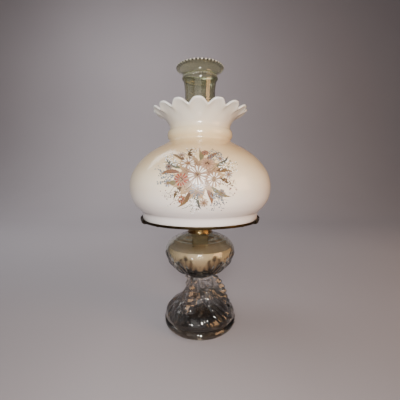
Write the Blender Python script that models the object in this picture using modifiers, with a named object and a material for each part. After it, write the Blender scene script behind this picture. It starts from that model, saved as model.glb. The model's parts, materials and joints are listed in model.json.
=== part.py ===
"""Oil lamp: pressed glass base, flat-wick burner, tripod shade holder, crimped opal shade and chimney.

+Z is up and the origin is the centre of the foot's bottom face. The wick's broad side faces -Y and the
winder's knob is at +X. The sizes here are in millimetres: the functions that make meshes turn them into
Blender's metres. An outline is a list of (radius, height) points, which run down the outer side of the
shape and up its inner side.
"""

import math

import bmesh
import bpy
import numpy as np
from mathutils import Matrix, Vector

METRES = 0.001  # in a millimetre
FULL_TURN = 2 * math.pi

# Driving dimensions
GAP = 0.3  # between pieces that touch on the real lamp
SHEET = 0.8  # thickness of the spun brass
STRIP = 1.2  # thickness of the holder's arms

FOOT_RADIUS = 56.5
STEM_TOP = 80.6
STEM_RADIUS = 20.5

FONT_BOTTOM = 83.7
FONT_RADIUS = 55.0
OIL_LEVEL = 127.0
NECK_BORE = 13.4
NECK_RADIUS = 15.2
NECK_TOP = 153.5

COLLAR_RADIUS = 18.3
COLLAR_BORE = 16.2
COLLAR_BOTTOM = 148.3
COLLAR_TOP = 160.0
THREAD_RADIUS = COLLAR_BORE - GAP

HUB_RADIUS = 28.0
HUB_THICKNESS = 1.0
RIVET_CIRCLE = 25.3
RING_RADIUS = 91.3
RING_BOTTOM = 171.5
ARM_WIDTH = 9.0
ARM_ANGLES = {"right": -30, "left": -150, "back": 90}

FLANGE_RADIUS = 21.5
GALLERY_RADIUS = 42.4
GALLERY_BOTTOM = 183.5
PRONG_WIDTH = 8.0
PRONG_ANGLES = (45, 135, 225, 315)
VENT_Y = 8.5

TUBE_HALF_WIDTH = 13.6
TUBE_HALF_DEPTH = 2.4
TUBE_WALL = 0.6
TUBE_BOTTOM = 155.0
TUBE_TOP = 197.0
WICK_HALF_WIDTH = 12.6
WICK_HALF_DEPTH = 1.4
WICK_BOTTOM = 110.0
WICK_TOP = 198.5

SHAFT_RADIUS = 1.2
SHAFT_HEIGHT = 175.5
SHAFT_END_X = -14.5
SPUR_RADIUS = 4.6
SPUR_ROOT_RADIUS = 3.4
SPUR_TEETH = 10
SPUR_X = 6.5
KNOB_RADIUS = 8.5
KNOB_X = 51.0

CHIMNEY_FOOT_RADIUS = 38.0
CHIMNEY_BOTTOM = 184.5
CHIMNEY_TOP = 394.5
CHIMNEY_WALL = 1.7

SHADE_RIM_RADIUS = 88.2
SHADE_BOTTOM = 173.1
SHADE_TOP = 331.0
SHADE_WALL = 3.0
SCALLOPS = 16
SCALLOP_START = 309.0  # the crimps grow from here to the rim
SCALLOP_OUT = 5.0
SCALLOP_UP = 3.5
SCALLOP_TURN = -1.9  # degrees that the crimps are turned from the lamp's front

# Levels that follow from the driving dimensions
HUB_BOTTOM = COLLAR_TOP + GAP
FLANGE_BOTTOM = HUB_BOTTOM + HUB_THICKNESS + GAP
FLANGE_TOP = FLANGE_BOTTOM + STRIP
BASKET_BOTTOM = FLANGE_TOP + GAP
SHAFT_Y = -(WICK_HALF_DEPTH + GAP + SPUR_RADIUS)

# Steps round each turned shape
SHADE_STEPS = SCALLOPS * 2
PEDESTAL_STEPS = 36
GLASS_STEPS = 28
BRASS_STEPS = 24
SMALL_STEPS = 12

FINISHES = {  # colour, roughness, metallic, transmission
    "clear_glass": ((0.80, 0.84, 0.78), 0.02, 0.0, 0.95),
    "smoky_glass": ((0.30, 0.27, 0.23), 0.03, 0.0, 0.90),
    "opal_glass": ((0.93, 0.88, 0.82), 0.12, 0.0, 0.0),
    "oil": ((0.95, 0.66, 0.42), 0.05, 0.0, 0.80),
    "plaster": ((0.78, 0.75, 0.68), 0.90, 0.0, 0.0),
    "brass": ((0.72, 0.53, 0.25), 0.28, 1.0, 0.0),
    "cotton": ((0.85, 0.81, 0.70), 0.95, 0.0, 0.0),
}


def clear_scene():
    """Removes every object that the file starts with."""
    for obj in list(bpy.data.objects):
        bpy.data.objects.remove(obj, do_unlink=True)


def new_collection(name):
    collection = bpy.data.collections.new(name)
    bpy.context.scene.collection.children.link(collection)
    return collection


clear_scene()
LAMP = new_collection("oil_lamp")
CUTTERS = new_collection("cutters")


# Materials, objects and Booleans


def finish_material(part, finish):
    """A material of the part's own, with the colour and gloss of the finish."""
    color, roughness, metallic, transmission = FINISHES[finish]
    material = bpy.data.materials.new(f"{part}_{finish}")
    material.use_nodes = True
    shader = material.node_tree.nodes["Principled BSDF"]
    shader.inputs["Base Color"].default_value = (*color, 1)
    shader.inputs["Roughness"].default_value = roughness
    shader.inputs["Metallic"].default_value = metallic
    shader.inputs["Transmission Weight"].default_value = transmission
    return material


def place(name, data, finish):
    """A new object of the lamp that holds the mesh or curve."""
    obj = bpy.data.objects.new(name, data)
    data.materials.append(finish_material(name, finish))
    LAMP.objects.link(obj)
    return obj


def as_cutter(obj):
    """Moves an object to the cutters, where neither a render nor the build shows it."""
    for collection in list(obj.users_collection):
        collection.objects.unlink(obj)
    CUTTERS.objects.link(obj)
    obj.hide_render = True
    obj.display_type = "WIRE"
    return obj


def cut(obj, cutter):
    modifier = obj.modifiers.new(f"cut_{cutter.name}", "BOOLEAN")
    modifier.operation = "DIFFERENCE"
    modifier.solver = "EXACT"
    modifier.object = as_cutter(cutter)


def move(obj, matrix):
    """Gives the object its place, and lets Blender work it out before anything reads it."""
    obj.matrix_world = matrix
    bpy.context.view_layer.update()
    return obj


def shift(x, y, z):
    return Matrix.Translation(Vector((x, y, z)) * METRES)


def rotation(angle_deg, axis):
    return Matrix.Rotation(math.radians(angle_deg), 4, axis)


def on_circle(radius, angle_deg, height):
    angle = math.radians(angle_deg)
    return Vector((radius * math.cos(angle), radius * math.sin(angle), height))


def baked(obj):
    """The object as a plain mesh, with its modifiers applied and its doubles merged."""
    bpy.context.view_layer.update()
    graph = bpy.context.evaluated_depsgraph_get()
    mesh = bpy.data.meshes.new_from_object(obj.evaluated_get(graph))
    shape = bmesh.new()
    shape.from_mesh(mesh)
    bmesh.ops.remove_doubles(shape, verts=shape.verts, dist=0.01 * METRES)
    shape.to_mesh(mesh)
    shape.free()
    name, matrix = obj.name, obj.matrix_world.copy()
    bpy.data.objects.remove(obj)
    made = bpy.data.objects.new(name, mesh)
    LAMP.objects.link(made)
    return move(made, matrix)


# Shapes


def eased(points, per_span=1):
    """Points on a Catmull-Rom curve through the given ones."""
    p = np.array([points[0], *points, points[-1]], float)
    t = np.arange(per_span)[:, None] / per_span
    spans = [
        b + 0.5 * t * (c - a + t * (2 * a - 5 * b + 4 * c - d + t * (3 * (b - c) + d - a)))
        for a, b, c, d in zip(p, p[1:], p[2:], p[3:])
    ]
    return [tuple(point) for point in np.concatenate([*spans, p[-1:]])]


def arc(centre, radius, start_deg, end_deg, steps):
    """Points on an arc of an outline, from one angle to another."""
    angles = np.radians(np.linspace(start_deg, end_deg, steps + 1))
    return [(centre[0] + radius * math.cos(a), centre[1] + radius * math.sin(a)) for a in angles]


def outline_mesh(name, outline, is_loop):
    """The outline's points in the XZ plane, joined by edges. A loop's last point joins its first."""
    count = len(outline)
    edges = [(i, i + 1) for i in range(count - 1)]
    if is_loop:
        edges.append((count - 1, 0))
    mesh = bpy.data.meshes.new(name)
    mesh.from_pydata([(r * METRES, 0, z * METRES) for r, z in outline], edges, [])
    return mesh


def turned(name, outline, finish, steps=BRASS_STEPS, is_loop=None):
    """A turned shape. An outline that starts and ends on the axis closes there, and any other is a loop."""
    if is_loop is None:
        is_loop = not outline[0][0] == outline[-1][0] == 0
    obj = place(name, outline_mesh(name, outline, is_loop), finish)
    modifier = obj.modifiers.new("turn", "SCREW")
    modifier.angle = FULL_TURN
    modifier.steps = steps
    modifier.render_steps = steps
    modifier.use_merge_vertices = True
    modifier.merge_threshold = 0.01 * METRES
    return obj


def shell(name, outer, finish, steps, thickness):
    """A turned skin with a wall of even thickness inside it."""
    obj = baked(turned(name, outer, finish, steps, is_loop=False))
    wall = obj.modifiers.new("wall", "SOLIDIFY")
    wall.thickness = thickness * METRES
    wall.offset = -1
    return obj


def flat_plate(name, outline, thickness, finish="brass"):
    """A flat closed outline in its local XY plane, centred on that plane, as a mesh."""
    curve = bpy.data.curves.new(name, "CURVE")
    curve.dimensions = "2D"
    curve.fill_mode = "BOTH"
    curve.extrude = thickness / 2 * METRES
    spline = curve.splines.new("POLY")
    spline.points.add(len(outline) - 1)
    for point, (x, y) in zip(spline.points, outline):
        point.co = (x * METRES, y * METRES, 0, 1)
    spline.use_cyclic_u = True
    return baked(place(name, curve, finish))


def stadium_block(name, half_width, half_depth, bottom, top, finish="brass"):
    """An upright block whose plan is a rectangle with two half-round ends."""
    reach = half_width - half_depth
    plan = arc((reach, 0), half_depth, -90, 90, 4) + arc((-reach, 0), half_depth, 90, 270, 4)
    return move(flat_plate(name, plan, top - bottom, finish), shift(0, 0, (bottom + top) / 2))


def rod(name, radius, start, end, finish="brass", steps=SMALL_STEPS):
    """A round bar from start to end."""
    start, end = Vector(start), Vector(end)
    shape = bmesh.new()
    bmesh.ops.create_cone(
        shape,
        cap_ends=True,
        segments=steps,
        radius1=radius * METRES,
        radius2=radius * METRES,
        depth=(end - start).length * METRES,
    )
    mesh = bpy.data.meshes.new(name)
    shape.to_mesh(mesh)
    shape.free()
    turn = Vector((0, 0, 1)).rotation_difference(end - start).to_matrix().to_4x4()
    return move(place(name, mesh, finish), shift(*(start + end) / 2) @ turn)


def box(name, low, high, finish="brass"):
    low, high = Vector(low), Vector(high)
    shape = bmesh.new()
    bmesh.ops.create_cube(shape, size=1)
    bmesh.ops.scale(shape, vec=(high - low) * METRES, verts=shape.verts)
    mesh = bpy.data.meshes.new(name)
    shape.to_mesh(mesh)
    shape.free()
    return move(place(name, mesh, finish), shift(*(low + high) / 2))


def bent_strip(name, path, thickness, width, angle_deg):
    """A strip bent along a path in the XZ plane and turned about Z. Its second face is on the path's right."""
    points = np.array(path, float)
    along = np.diff(points, axis=0)
    along /= np.linalg.norm(along, axis=1)[:, None]
    normal = np.stack([along[:, 1], -along[:, 0]], axis=1)
    before = np.vstack([normal[:1], normal])
    mitre = before + np.vstack([normal, normal[-1:]])
    mitre /= (mitre * before).sum(axis=1)[:, None]
    far_side = points + mitre * thickness
    plate = flat_plate(name, [*path, *map(tuple, far_side[::-1])], width)
    return move(plate, rotation(angle_deg, "Z") @ rotation(90, "X"))


def reshape(mesh, change):
    """Moves the mesh's points: change takes arrays of radius, angle and height and gives them back."""
    flat = np.empty(len(mesh.vertices) * 3, np.float32)
    mesh.vertices.foreach_get("co", flat)
    points = flat.reshape(-1, 3) / METRES
    angle = np.arctan2(points[:, 1], points[:, 0])
    radius, height = change(np.hypot(points[:, 0], points[:, 1]), angle, points[:, 2])
    moved = np.stack([radius * np.cos(angle), radius * np.sin(angle), height], axis=1)
    mesh.vertices.foreach_set("co", (moved * METRES).reshape(-1))
    mesh.update()


# Pressed glass base

BRACKETS = 3
BRACKET_SIDE = [(35, 47.0), (41, 43.4), (47.5, 42.2), (55, 40.6), (62, 37.0), (70, 32.5), (76, 27.0), (80.6, 20.5)]
BRACKET_SPREAD = math.radians(15)
LEAF_TIP = 35.0
LEAF_RISE = 2.4


def make_pedestal():
    """The bell-shaped foot, hollow below, and its stem."""
    stem = [(0, STEM_TOP), (STEM_RADIUS, STEM_TOP)] + eased(
        [(19.8, 76), (19, 69), (19.6, 62), (21, 55), (24.5, 47.5), (31, 41.5), (40.5, 35.5), (48, 30.5),
         (53.5, 23), (55.6, 15.5)]
    )
    rim = [(54.2, 13.9)] + eased([(56.1, 12), (FOOT_RADIUS, 9), (55.4, 4.5), (52.5, 1.2), (49.5, 0)]) + [(45.5, 0)]
    hollow = eased([(43.5, 4), (42, 12), (37.5, 20), (28, 26.5), (17, 30), (8, 31)]) + [(0, 31.5)]
    pedestal = baked(turned("pedestal", stem + rim + hollow, "smoky_glass", PEDESTAL_STEPS))
    reshape(pedestal.data, press_relief)
    return pedestal


def press_relief(radius, angle, height):
    """Three brackets that bow out from stem to foot, and between them three leaves that hang on it."""
    beat = FULL_TURN / BRACKETS
    off_bracket = np.abs((angle + beat / 2) % beat - beat / 2)
    off_leaf = beat / 2 - off_bracket
    side_height, side_radius = np.array(BRACKET_SIDE).T
    bow = np.maximum(np.interp(height, side_height, side_radius) - radius, 0)
    bow *= (height > LEAF_TIP) * np.exp(-((off_bracket / BRACKET_SPREAD) ** 2))
    leaf_width = np.clip((height - LEAF_TIP) / 20, 0, 1) * math.radians(32)
    leaf = LEAF_RISE * np.clip((leaf_width - off_leaf) / math.radians(10), 0, 1) * (height < STEM_TOP - 5)
    return radius + bow + leaf, height


def make_font():
    """The wafer that joins stem and font, the font with its neck, and the oil in it."""
    low = STEM_TOP + GAP
    top = FONT_BOTTOM - GAP
    middle = (low + top) / 2
    wafer = [(0, top), (20.6, top), (22.2, middle), (20.6, low), (0, low)]
    turned("stem_wafer", wafer, "clear_glass", GLASS_STEPS)
    body = eased(
        [(22.5, 147), (34, 143.6), (45.5, 137.4), (52, 129.2), (FONT_RADIUS, 121), (54.4, 113), (51.8, 105),
         (46, 96.6), (37.6, 90.2), (28.5, 86.2), (21.5, FONT_BOTTOM)]
    )
    inside = eased(
        [(12, 88), (24, 90), (36, 95), (44, 102), (49.2, 110), (51.6, 119), (49, 127.5), (43, 134.2),
         (33, 139.8), (23, 143), (15.5, 144.6)]
    )
    vessel = [(0, 87.4), *inside, (NECK_BORE, 146.5), (NECK_BORE, NECK_TOP), (NECK_RADIUS, NECK_TOP)]
    vessel += [(NECK_RADIUS, 148), *body, (0, FONT_BOTTOM)]
    turned("font", vessel, "clear_glass", GLASS_STEPS)
    oil_side = eased(
        [(48.6, OIL_LEVEL), (51.1, 119), (48.7, 110.1), (43.5, 102.4), (35.7, 95.5), (23.8, 90.5), (12, 88.5)]
    )
    oil = [(0, 94), (NECK_BORE, 94), (NECK_BORE, OIL_LEVEL), *oil_side, (0, 87.9)]
    turned("lamp_oil", oil, "oil", GLASS_STEPS)


def make_collar():
    """The screw collar round the font's neck and the plaster that holds it."""
    skirt_bore = COLLAR_BORE + 0.5
    collar = [
        (COLLAR_BORE, COLLAR_TOP), (COLLAR_RADIUS - 0.3, COLLAR_TOP), (COLLAR_RADIUS, COLLAR_TOP - 1),
        (COLLAR_RADIUS, COLLAR_BOTTOM + 2), (COLLAR_RADIUS + 1.1, COLLAR_BOTTOM + 1.4),
        (COLLAR_RADIUS + 1.1, COLLAR_BOTTOM), (skirt_bore, COLLAR_BOTTOM), (skirt_bore, NECK_TOP + 0.4),
        (COLLAR_BORE, NECK_TOP + 0.4),
    ]
    turned("collar", collar, "brass")
    inner, outer, low = NECK_RADIUS + GAP, skirt_bore - GAP, COLLAR_BOTTOM + 0.7
    turned("collar_cement", [(outer, NECK_TOP), (outer, low), (inner, low), (inner, NECK_TOP)], "plaster")


# Shade holder


def make_holder():
    """The hub, the three arms with their rivets, and the ring that carries the shade."""
    top = HUB_BOTTOM + HUB_THICKNESS
    bore = THREAD_RADIUS + 0.4
    hub = turned("holder_hub", [(HUB_RADIUS, top), (HUB_RADIUS, HUB_BOTTOM), (bore, HUB_BOTTOM), (bore, top)], "brass")
    low = FLANGE_TOP
    path = [(22.4, low), (28.5, low), (33.5, low + 2.8), (72, low + 2.8), (84, RING_BOTTOM - GAP)]
    lug = RING_RADIUS + GAP + STRIP
    path += [(lug, RING_BOTTOM - GAP), (lug, RING_BOTTOM + 5.1)]
    for name, angle in ARM_ANGLES.items():
        arm = bent_strip(f"holder_arm_{name}", path, STRIP, ARM_WIDTH, angle)
        cut(arm, rivet_hole(f"arm_hole_{name}", angle))
        cut(hub, rivet_hole(f"hub_hole_{name}", angle))
        make_rivet(f"holder_rivet_{name}", angle)
    seat, lip = RING_BOTTOM + STRIP, RING_BOTTOM + 3.4
    inside = RING_RADIUS - 1
    ring = [(RING_RADIUS, lip), (RING_RADIUS, RING_BOTTOM), (84, RING_BOTTOM), (84, seat), (inside, seat), (inside, lip)]
    turned("holder_ring", ring, "brass", SHADE_STEPS)


def rivet_hole(name, angle_deg):
    start = on_circle(RIVET_CIRCLE, angle_deg, HUB_BOTTOM - 2)
    end = on_circle(RIVET_CIRCLE, angle_deg, FLANGE_TOP + 2)
    return rod(name, 1.2, start, end, steps=8)


def make_rivet(name, angle_deg):
    """A rivet with a head above the arm and one below the hub."""
    head, tail = FLANGE_TOP + GAP, HUB_BOTTOM - GAP
    outline = [(0, head + 0.9), (1.2, head + 0.6), (1.9, head), (0.9, head)]
    outline += [(0.9, tail), (1.9, tail), (1.2, tail - 0.6), (0, tail - 0.9)]
    move(turned(name, outline, "brass", 8), shift(*on_circle(RIVET_CIRCLE, angle_deg, 0)))


# Burner


def make_burner():
    """The threaded base, the basket, the gallery, the air plate, the vent tube and the deflector."""
    inside = THREAD_RADIUS - 1.4
    base = [(0, FLANGE_TOP), (FLANGE_RADIUS, FLANGE_TOP), (FLANGE_RADIUS, FLANGE_BOTTOM)]
    base += [(THREAD_RADIUS, FLANGE_BOTTOM), (THREAD_RADIUS, NECK_TOP + 0.7), (inside, NECK_TOP + 0.7)]
    base += [(inside, FLANGE_BOTTOM - 0.2), (0, FLANGE_BOTTOM - 0.2)]
    base = turned("burner_base", base, "brass")
    cut(base, tube_slot("base_slot"))
    cut(base, rod("vent_hole", 2.1, (0, VENT_Y, 150), (0, VENT_Y, 170)))
    make_basket()
    turned_wall = GALLERY_RADIUS - SHEET
    low, lip = GALLERY_BOTTOM, GALLERY_BOTTOM + 3.8
    gallery = [(GALLERY_RADIUS, lip), (GALLERY_RADIUS, low), (27.5, low), (27.5, low + 0.7)]
    turned("gallery", gallery + [(turned_wall, low + 0.7), (turned_wall, lip)], "brass")
    make_air_plate()
    vent = turned("vent_tube", [(1.8, 170), (1.8, 156), (1.2, 156), (1.2, 170)], "brass", SMALL_STEPS)
    move(vent, shift(0, VENT_Y, 0))
    make_deflector()


def make_basket():
    """The spun basket between flange and gallery, with a row of air holes and the winder's bore."""
    outer = [(41.4, 183.2), (39.5, 181.2), (32.4, 175.6), (24.6, 171), (21.4, 168), (21.4, BASKET_BOTTOM)]
    inner = [(20.6, BASKET_BOTTOM), (20.6, 168.4), (24.2, 171.8), (31.8, 176.3), (38.9, 182), (40.2, 183.2)]
    basket = turned("burner_basket", outer + inner, "brass")
    holes = 12
    for i in range(holes):
        angle = (i + 0.5) * 360 / holes
        start, end = on_circle(27, angle, 186), on_circle(38.5, angle, 167)
        cut(basket, rod(f"basket_hole_{i}", 2.3, start, end, steps=6))
    cut(basket, rod("basket_bore", 2.7, (10, SHAFT_Y, SHAFT_HEIGHT), (60, SHAFT_Y, SHAFT_HEIGHT), steps=8))


def make_air_plate():
    low = GALLERY_BOTTOM - 2.4
    plate = turned("air_plate", [(0, low + SHEET), (37.2, low + SHEET), (37.2, low), (0, low)], "brass")
    cut(plate, tube_slot("plate_slot"))
    holes = 12
    for i in range(holes):
        foot = on_circle(25, (i + 0.5) * 360 / holes, low - 3)
        cut(plate, rod(f"plate_hole_{i}", 2.2, foot, foot + Vector((0, 0, 8)), steps=6))


def tube_slot(name):
    """A cutter for the slot that the wick tube stands in."""
    return stadium_block(name, TUBE_HALF_WIDTH + GAP, TUBE_HALF_DEPTH + GAP, TUBE_BOTTOM - 5, GALLERY_BOTTOM + 5)


def make_deflector():
    """The dome over the wick tube, with the slot that the flame stands in."""
    low = GALLERY_BOTTOM + 1
    outer = [(0, 207), (8, 206.6), (15, 204.8), (21, 201), (25.5, 195.5), (28.5, 189.5), (29.3, low + 0.9)]
    inner = [(28.4, low), (27.6, 189.2), (24.6, 194.9), (20.3, 200.2), (14.6, 203.9), (7.8, 205.6), (0, 206)]
    dome = turned("deflector_cone", outer + [(32.5, low + 0.9), (32.5, low)] + inner, "brass")
    cut(dome, stadium_block("flame_slot", 15.5, 4, 199.5, 215))


def make_prong(name, angle_deg):
    """A spring leaf that stands in the gallery and presses on the chimney's base."""
    foot = GALLERY_BOTTOM + 1.2
    path = [(40.6, foot), (40.6, 190), (39.8, 194.5), (39.1, 197.5), (40.1, 200.5), (41.8, 203)]
    return bent_strip(name, path, -0.6, PRONG_WIDTH, angle_deg)


# Wick and winder


def make_wick():
    """The wick tube, with a window for each spur wheel, and the wick in it."""
    tube = stadium_block("wick_tube", TUBE_HALF_WIDTH, TUBE_HALF_DEPTH, TUBE_BOTTOM, TUBE_TOP)
    bore = [TUBE_HALF_WIDTH - TUBE_WALL, TUBE_HALF_DEPTH - TUBE_WALL, TUBE_BOTTOM - 5, TUBE_TOP + 5]
    cut(tube, stadium_block("tube_bore", *bore))
    half = Vector((1.4, 2.0, 4.6))
    for i, x in enumerate((-SPUR_X, SPUR_X)):
        middle = Vector((x, -TUBE_HALF_DEPTH, SHAFT_HEIGHT))
        cut(tube, box(f"spur_window_{i}", middle - half, middle + half))
    stadium_block("wick", WICK_HALF_WIDTH, WICK_HALF_DEPTH, WICK_BOTTOM, WICK_TOP, "cotton")


def along_shaft(x):
    """The place on the winder's shaft at x, turned so that a shape made along Z lies along X."""
    return shift(x, SHAFT_Y, SHAFT_HEIGHT) @ rotation(90, "Y")


def make_winder():
    """The shaft with two spur wheels and a knob, the bushing it turns in, and its inner bearing."""
    start, end = (SHAFT_END_X, SHAFT_Y, SHAFT_HEIGHT), (KNOB_X - GAP, SHAFT_Y, SHAFT_HEIGHT)
    rod("winder_shaft", SHAFT_RADIUS, start, end)
    for side, x in (("left", -SPUR_X), ("right", SPUR_X)):
        wheel = move(flat_plate(f"spur_wheel_{side}", spur_outline(), 1.6), along_shaft(x))
        cut(wheel, rod(f"spur_bore_{side}", SHAFT_RADIUS + GAP, (x - 4, *start[1:]), (x + 4, *start[1:])))
    knob = [(0, 2.2), (5.6, 1.5), (7.2, 1.9), (KNOB_RADIUS, 1.5), (KNOB_RADIUS, 0.1), (7.2, -0.3)]
    knob += [(5.6, 0.1), (2.4, 0), (0, 0)]
    move(turned("winder_knob", knob, "brass"), along_shaft(KNOB_X))
    bushing = turned("shaft_bushing", [(2.4, 20), (2.4, 0), (1.5, 0), (1.5, 20)], "brass", SMALL_STEPS)
    move(bushing, along_shaft(17))
    low = (-13.2, SHAFT_Y - 3.2, BASKET_BOTTOM)
    high = (-12.0, SHAFT_Y + 3.2, SHAFT_HEIGHT + 3.2)
    bracket = box("shaft_bracket", low, high)
    cut(bracket, rod("bracket_bore", SHAFT_RADIUS + GAP, (-20, *start[1:]), (0, *start[1:])))


def spur_outline():
    """The outline of a wheel with pointed teeth."""
    outline = []
    for i in range(2 * SPUR_TEETH):
        radius = SPUR_RADIUS if i % 2 == 0 else SPUR_ROOT_RADIUS
        angle = math.pi * i / SPUR_TEETH
        outline.append((radius * math.cos(angle), radius * math.sin(angle)))
    return outline


# Glass on top


def make_shade():
    """The opal shade: a turned bell with a beaded neck, whose top is crimped into scallops."""
    skin = [
        (SHADE_RIM_RADIUS, SHADE_BOTTOM), (89.0, 183), (92.6, 187.4), (98.6, 194.4), (103.6, 203.5),
        (106.2, 215), (106, 227), (102, 241), (94.5, 253), (84, 264.5), (70, 275), (56, 282.4), (47, 288.6),
        (46.2, 293), (49, 298), (46, 303.4), (46, 310.5), (50.6, 319), (58.5, 326), (67.5, SHADE_TOP),
    ]
    shade = shell("shade", skin[::-1], "opal_glass", SHADE_STEPS, SHADE_WALL)
    reshape(shade.data, crimp)
    shade.rotation_euler.z = math.radians(SCALLOP_TURN)


def crimp(radius, angle, height):
    """Moves the top out and up by the cosine of its scallop, more towards the rim. One is in front."""
    grown = np.clip((height - SCALLOP_START) / (SHADE_TOP - SCALLOP_START), 0, 1) ** 1.5
    wave = grown * np.cos(SCALLOPS * (angle + math.pi / 2))
    return radius + SCALLOP_OUT * wave, height + SCALLOP_UP * wave


def make_chimney():
    """The chimney: a straight foot, a slim bulge, a long neck and a flared crown."""
    skin = [
        (CHIMNEY_FOOT_RADIUS, CHIMNEY_BOTTOM), (CHIMNEY_FOOT_RADIUS, 195.5), (36.4, 204), (37.6, 220),
        (38.2, 236), (37, 252), (32, 279), (26.4, 308), (23.4, 338), (22.8, 358), (26.2, 379),
        (25.2, 385.5), (28.4, 390), (36.6, CHIMNEY_TOP),
    ]
    shell("chimney", skin[::-1], "clear_glass", GLASS_STEPS, CHIMNEY_WALL)


make_pedestal()
make_font()
make_collar()
make_holder()
make_burner()
for prong_number, prong_angle in enumerate(PRONG_ANGLES, 1):
    make_prong(f"chimney_prong_{prong_number}", prong_angle)
make_wick()
make_winder()
make_shade()
make_chimney()
for part in LAMP.objects:
    part.data.shade_smooth()
    part.data.set_sharp_from_angle(angle=math.radians(40))
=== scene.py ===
# %% [markdown]
# # An oil lamp with a painted opal shade
#
# The lamp is pressed glass below, brass in the middle and blown glass on top. Its solids come packed as a
# fixed frame, plain but true to size. This lesson makes the fine surface of each piece around them: every
# shape is a formula on a grid of two parameters, so it can be read, checked and changed.

# %% Load the frame
import json
import math

import bmesh
import bpy
import numpy as np
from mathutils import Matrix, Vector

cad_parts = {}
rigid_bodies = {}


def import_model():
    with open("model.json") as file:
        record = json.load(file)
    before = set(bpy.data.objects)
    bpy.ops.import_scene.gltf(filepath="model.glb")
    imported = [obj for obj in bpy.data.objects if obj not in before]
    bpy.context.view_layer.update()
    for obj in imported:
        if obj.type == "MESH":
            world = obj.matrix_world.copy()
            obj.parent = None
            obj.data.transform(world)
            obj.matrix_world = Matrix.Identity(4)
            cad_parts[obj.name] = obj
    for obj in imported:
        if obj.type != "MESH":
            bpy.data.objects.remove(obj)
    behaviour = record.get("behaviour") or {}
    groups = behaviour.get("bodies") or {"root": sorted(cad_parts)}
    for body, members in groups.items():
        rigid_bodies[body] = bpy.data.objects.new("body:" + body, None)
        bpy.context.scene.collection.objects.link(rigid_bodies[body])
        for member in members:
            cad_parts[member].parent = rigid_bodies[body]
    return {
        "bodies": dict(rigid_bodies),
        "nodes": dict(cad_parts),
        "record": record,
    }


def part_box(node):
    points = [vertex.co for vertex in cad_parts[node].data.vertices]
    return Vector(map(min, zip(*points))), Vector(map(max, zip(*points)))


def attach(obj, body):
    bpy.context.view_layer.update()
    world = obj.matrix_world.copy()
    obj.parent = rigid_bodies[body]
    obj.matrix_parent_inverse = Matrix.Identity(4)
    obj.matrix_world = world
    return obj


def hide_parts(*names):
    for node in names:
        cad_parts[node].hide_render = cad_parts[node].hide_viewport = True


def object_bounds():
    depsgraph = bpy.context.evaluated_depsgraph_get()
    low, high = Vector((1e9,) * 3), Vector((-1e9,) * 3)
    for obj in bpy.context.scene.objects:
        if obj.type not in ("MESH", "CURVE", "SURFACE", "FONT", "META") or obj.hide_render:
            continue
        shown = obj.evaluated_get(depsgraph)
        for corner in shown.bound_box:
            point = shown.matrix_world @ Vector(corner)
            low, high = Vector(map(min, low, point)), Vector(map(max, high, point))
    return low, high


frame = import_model()
cad_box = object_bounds()
print("bodies:", ", ".join(frame["bodies"]))

# %% Units, and where the frame says that each piece is
MM = 0.001  # metres
TURN = 2 * np.pi
BODY_OF = {node: body for body, nodes in frame["record"]["behaviour"]["bodies"].items() for node in nodes}


def box(node):
    """The lowest and the highest corner of a node, in millimetres."""
    low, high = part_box(node)
    return np.array(low) / MM, np.array(high) / MM


LAMP_TOP = cad_box[1].z / MM
print(f"the lamp is {LAMP_TOP:.1f} mm tall and {(cad_box[1].x - cad_box[0].x) / MM:.1f} mm across")

# %% [markdown]
# ## The studio
#
# The lamp stands on a pale sheet that curves up behind it, so that no horizon shows. A large soft light
# stands in front, and two weaker ones, cool on the left and warm on the right, shape the round forms. A
# small one just over the camera puts the short sparks down the middle of the glass, and one behind the
# lamp brightens the sheet. The camera stands close, which makes the shade's rim bow.

# %% Camera
CAMERA_DISTANCE = 390
CAMERA_HEIGHT = 238
CAMERA_DOWN = math.radians(5.71)

camera = bpy.data.objects.new("camera", bpy.data.cameras.new("camera"))
camera.data.lens = 22.5
camera.data.clip_start = 0.02
camera.location = (0, -CAMERA_DISTANCE * MM, CAMERA_HEIGHT * MM)
camera.rotation_euler = (math.pi / 2 - CAMERA_DOWN, 0, 0)
bpy.context.scene.collection.objects.link(camera)
bpy.context.scene.camera = camera


# %% Lights
def soft_light(name, place, aim, size, watts, color):
    """A square light at place that faces the point aim, both in metres."""
    light = bpy.data.lights.new(name, "AREA")
    light.size, light.energy, light.color = size, watts, color
    lamp = bpy.data.objects.new(name, light)
    lamp.location = place
    toward = np.array(aim) - np.array(place)
    lamp.rotation_euler = (math.pi / 2 + math.atan2(toward[2], math.hypot(*toward[:2])), 0,
                           math.atan2(toward[1], toward[0]) - math.pi / 2)
    bpy.context.scene.collection.objects.link(lamp)


soft_light("front", (-0.5, -1.9, 1.1), (0, 0, 0.22), 1.9, 12, (1.0, 0.99, 0.98))
soft_light("cool_side", (-1.6, -0.3, 0.9), (0, 0, 0.22), 1.4, 2.5, (0.86, 0.92, 1.0))
soft_light("warm_side", (1.3, -0.7, 0.5), (0, 0, 0.22), 0.8, 13, (1.0, 0.58, 0.28))
soft_light("spark", (-0.004, -0.42, 0.285), (0, 0, 0.23), 0.09, 2.3, (1.0, 0.97, 0.93))
soft_light("behind", (-0.5, 0.5, 1.2), (-0.3, 1.7, 0.1), 1.0, 15, (0.97, 0.98, 1.0))

world = bpy.data.worlds.new("studio")
world.use_nodes = True
world.node_tree.nodes["Background"].inputs["Color"].default_value = (0.60, 0.58, 0.62, 1)
world.node_tree.nodes["Background"].inputs["Strength"].default_value = 0.16
bpy.context.scene.world = world

# %% [markdown]
# ## Surfaces from formulas
#
# Turned glass and spun brass are outlines carried round an axis, and strips are a section carried along a
# path. Both are a grid of points. Working on the whole grid at once keeps each formula short, and
# a pressed pattern or a crimped rim is then only a change of the grid's radius and height.


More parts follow.
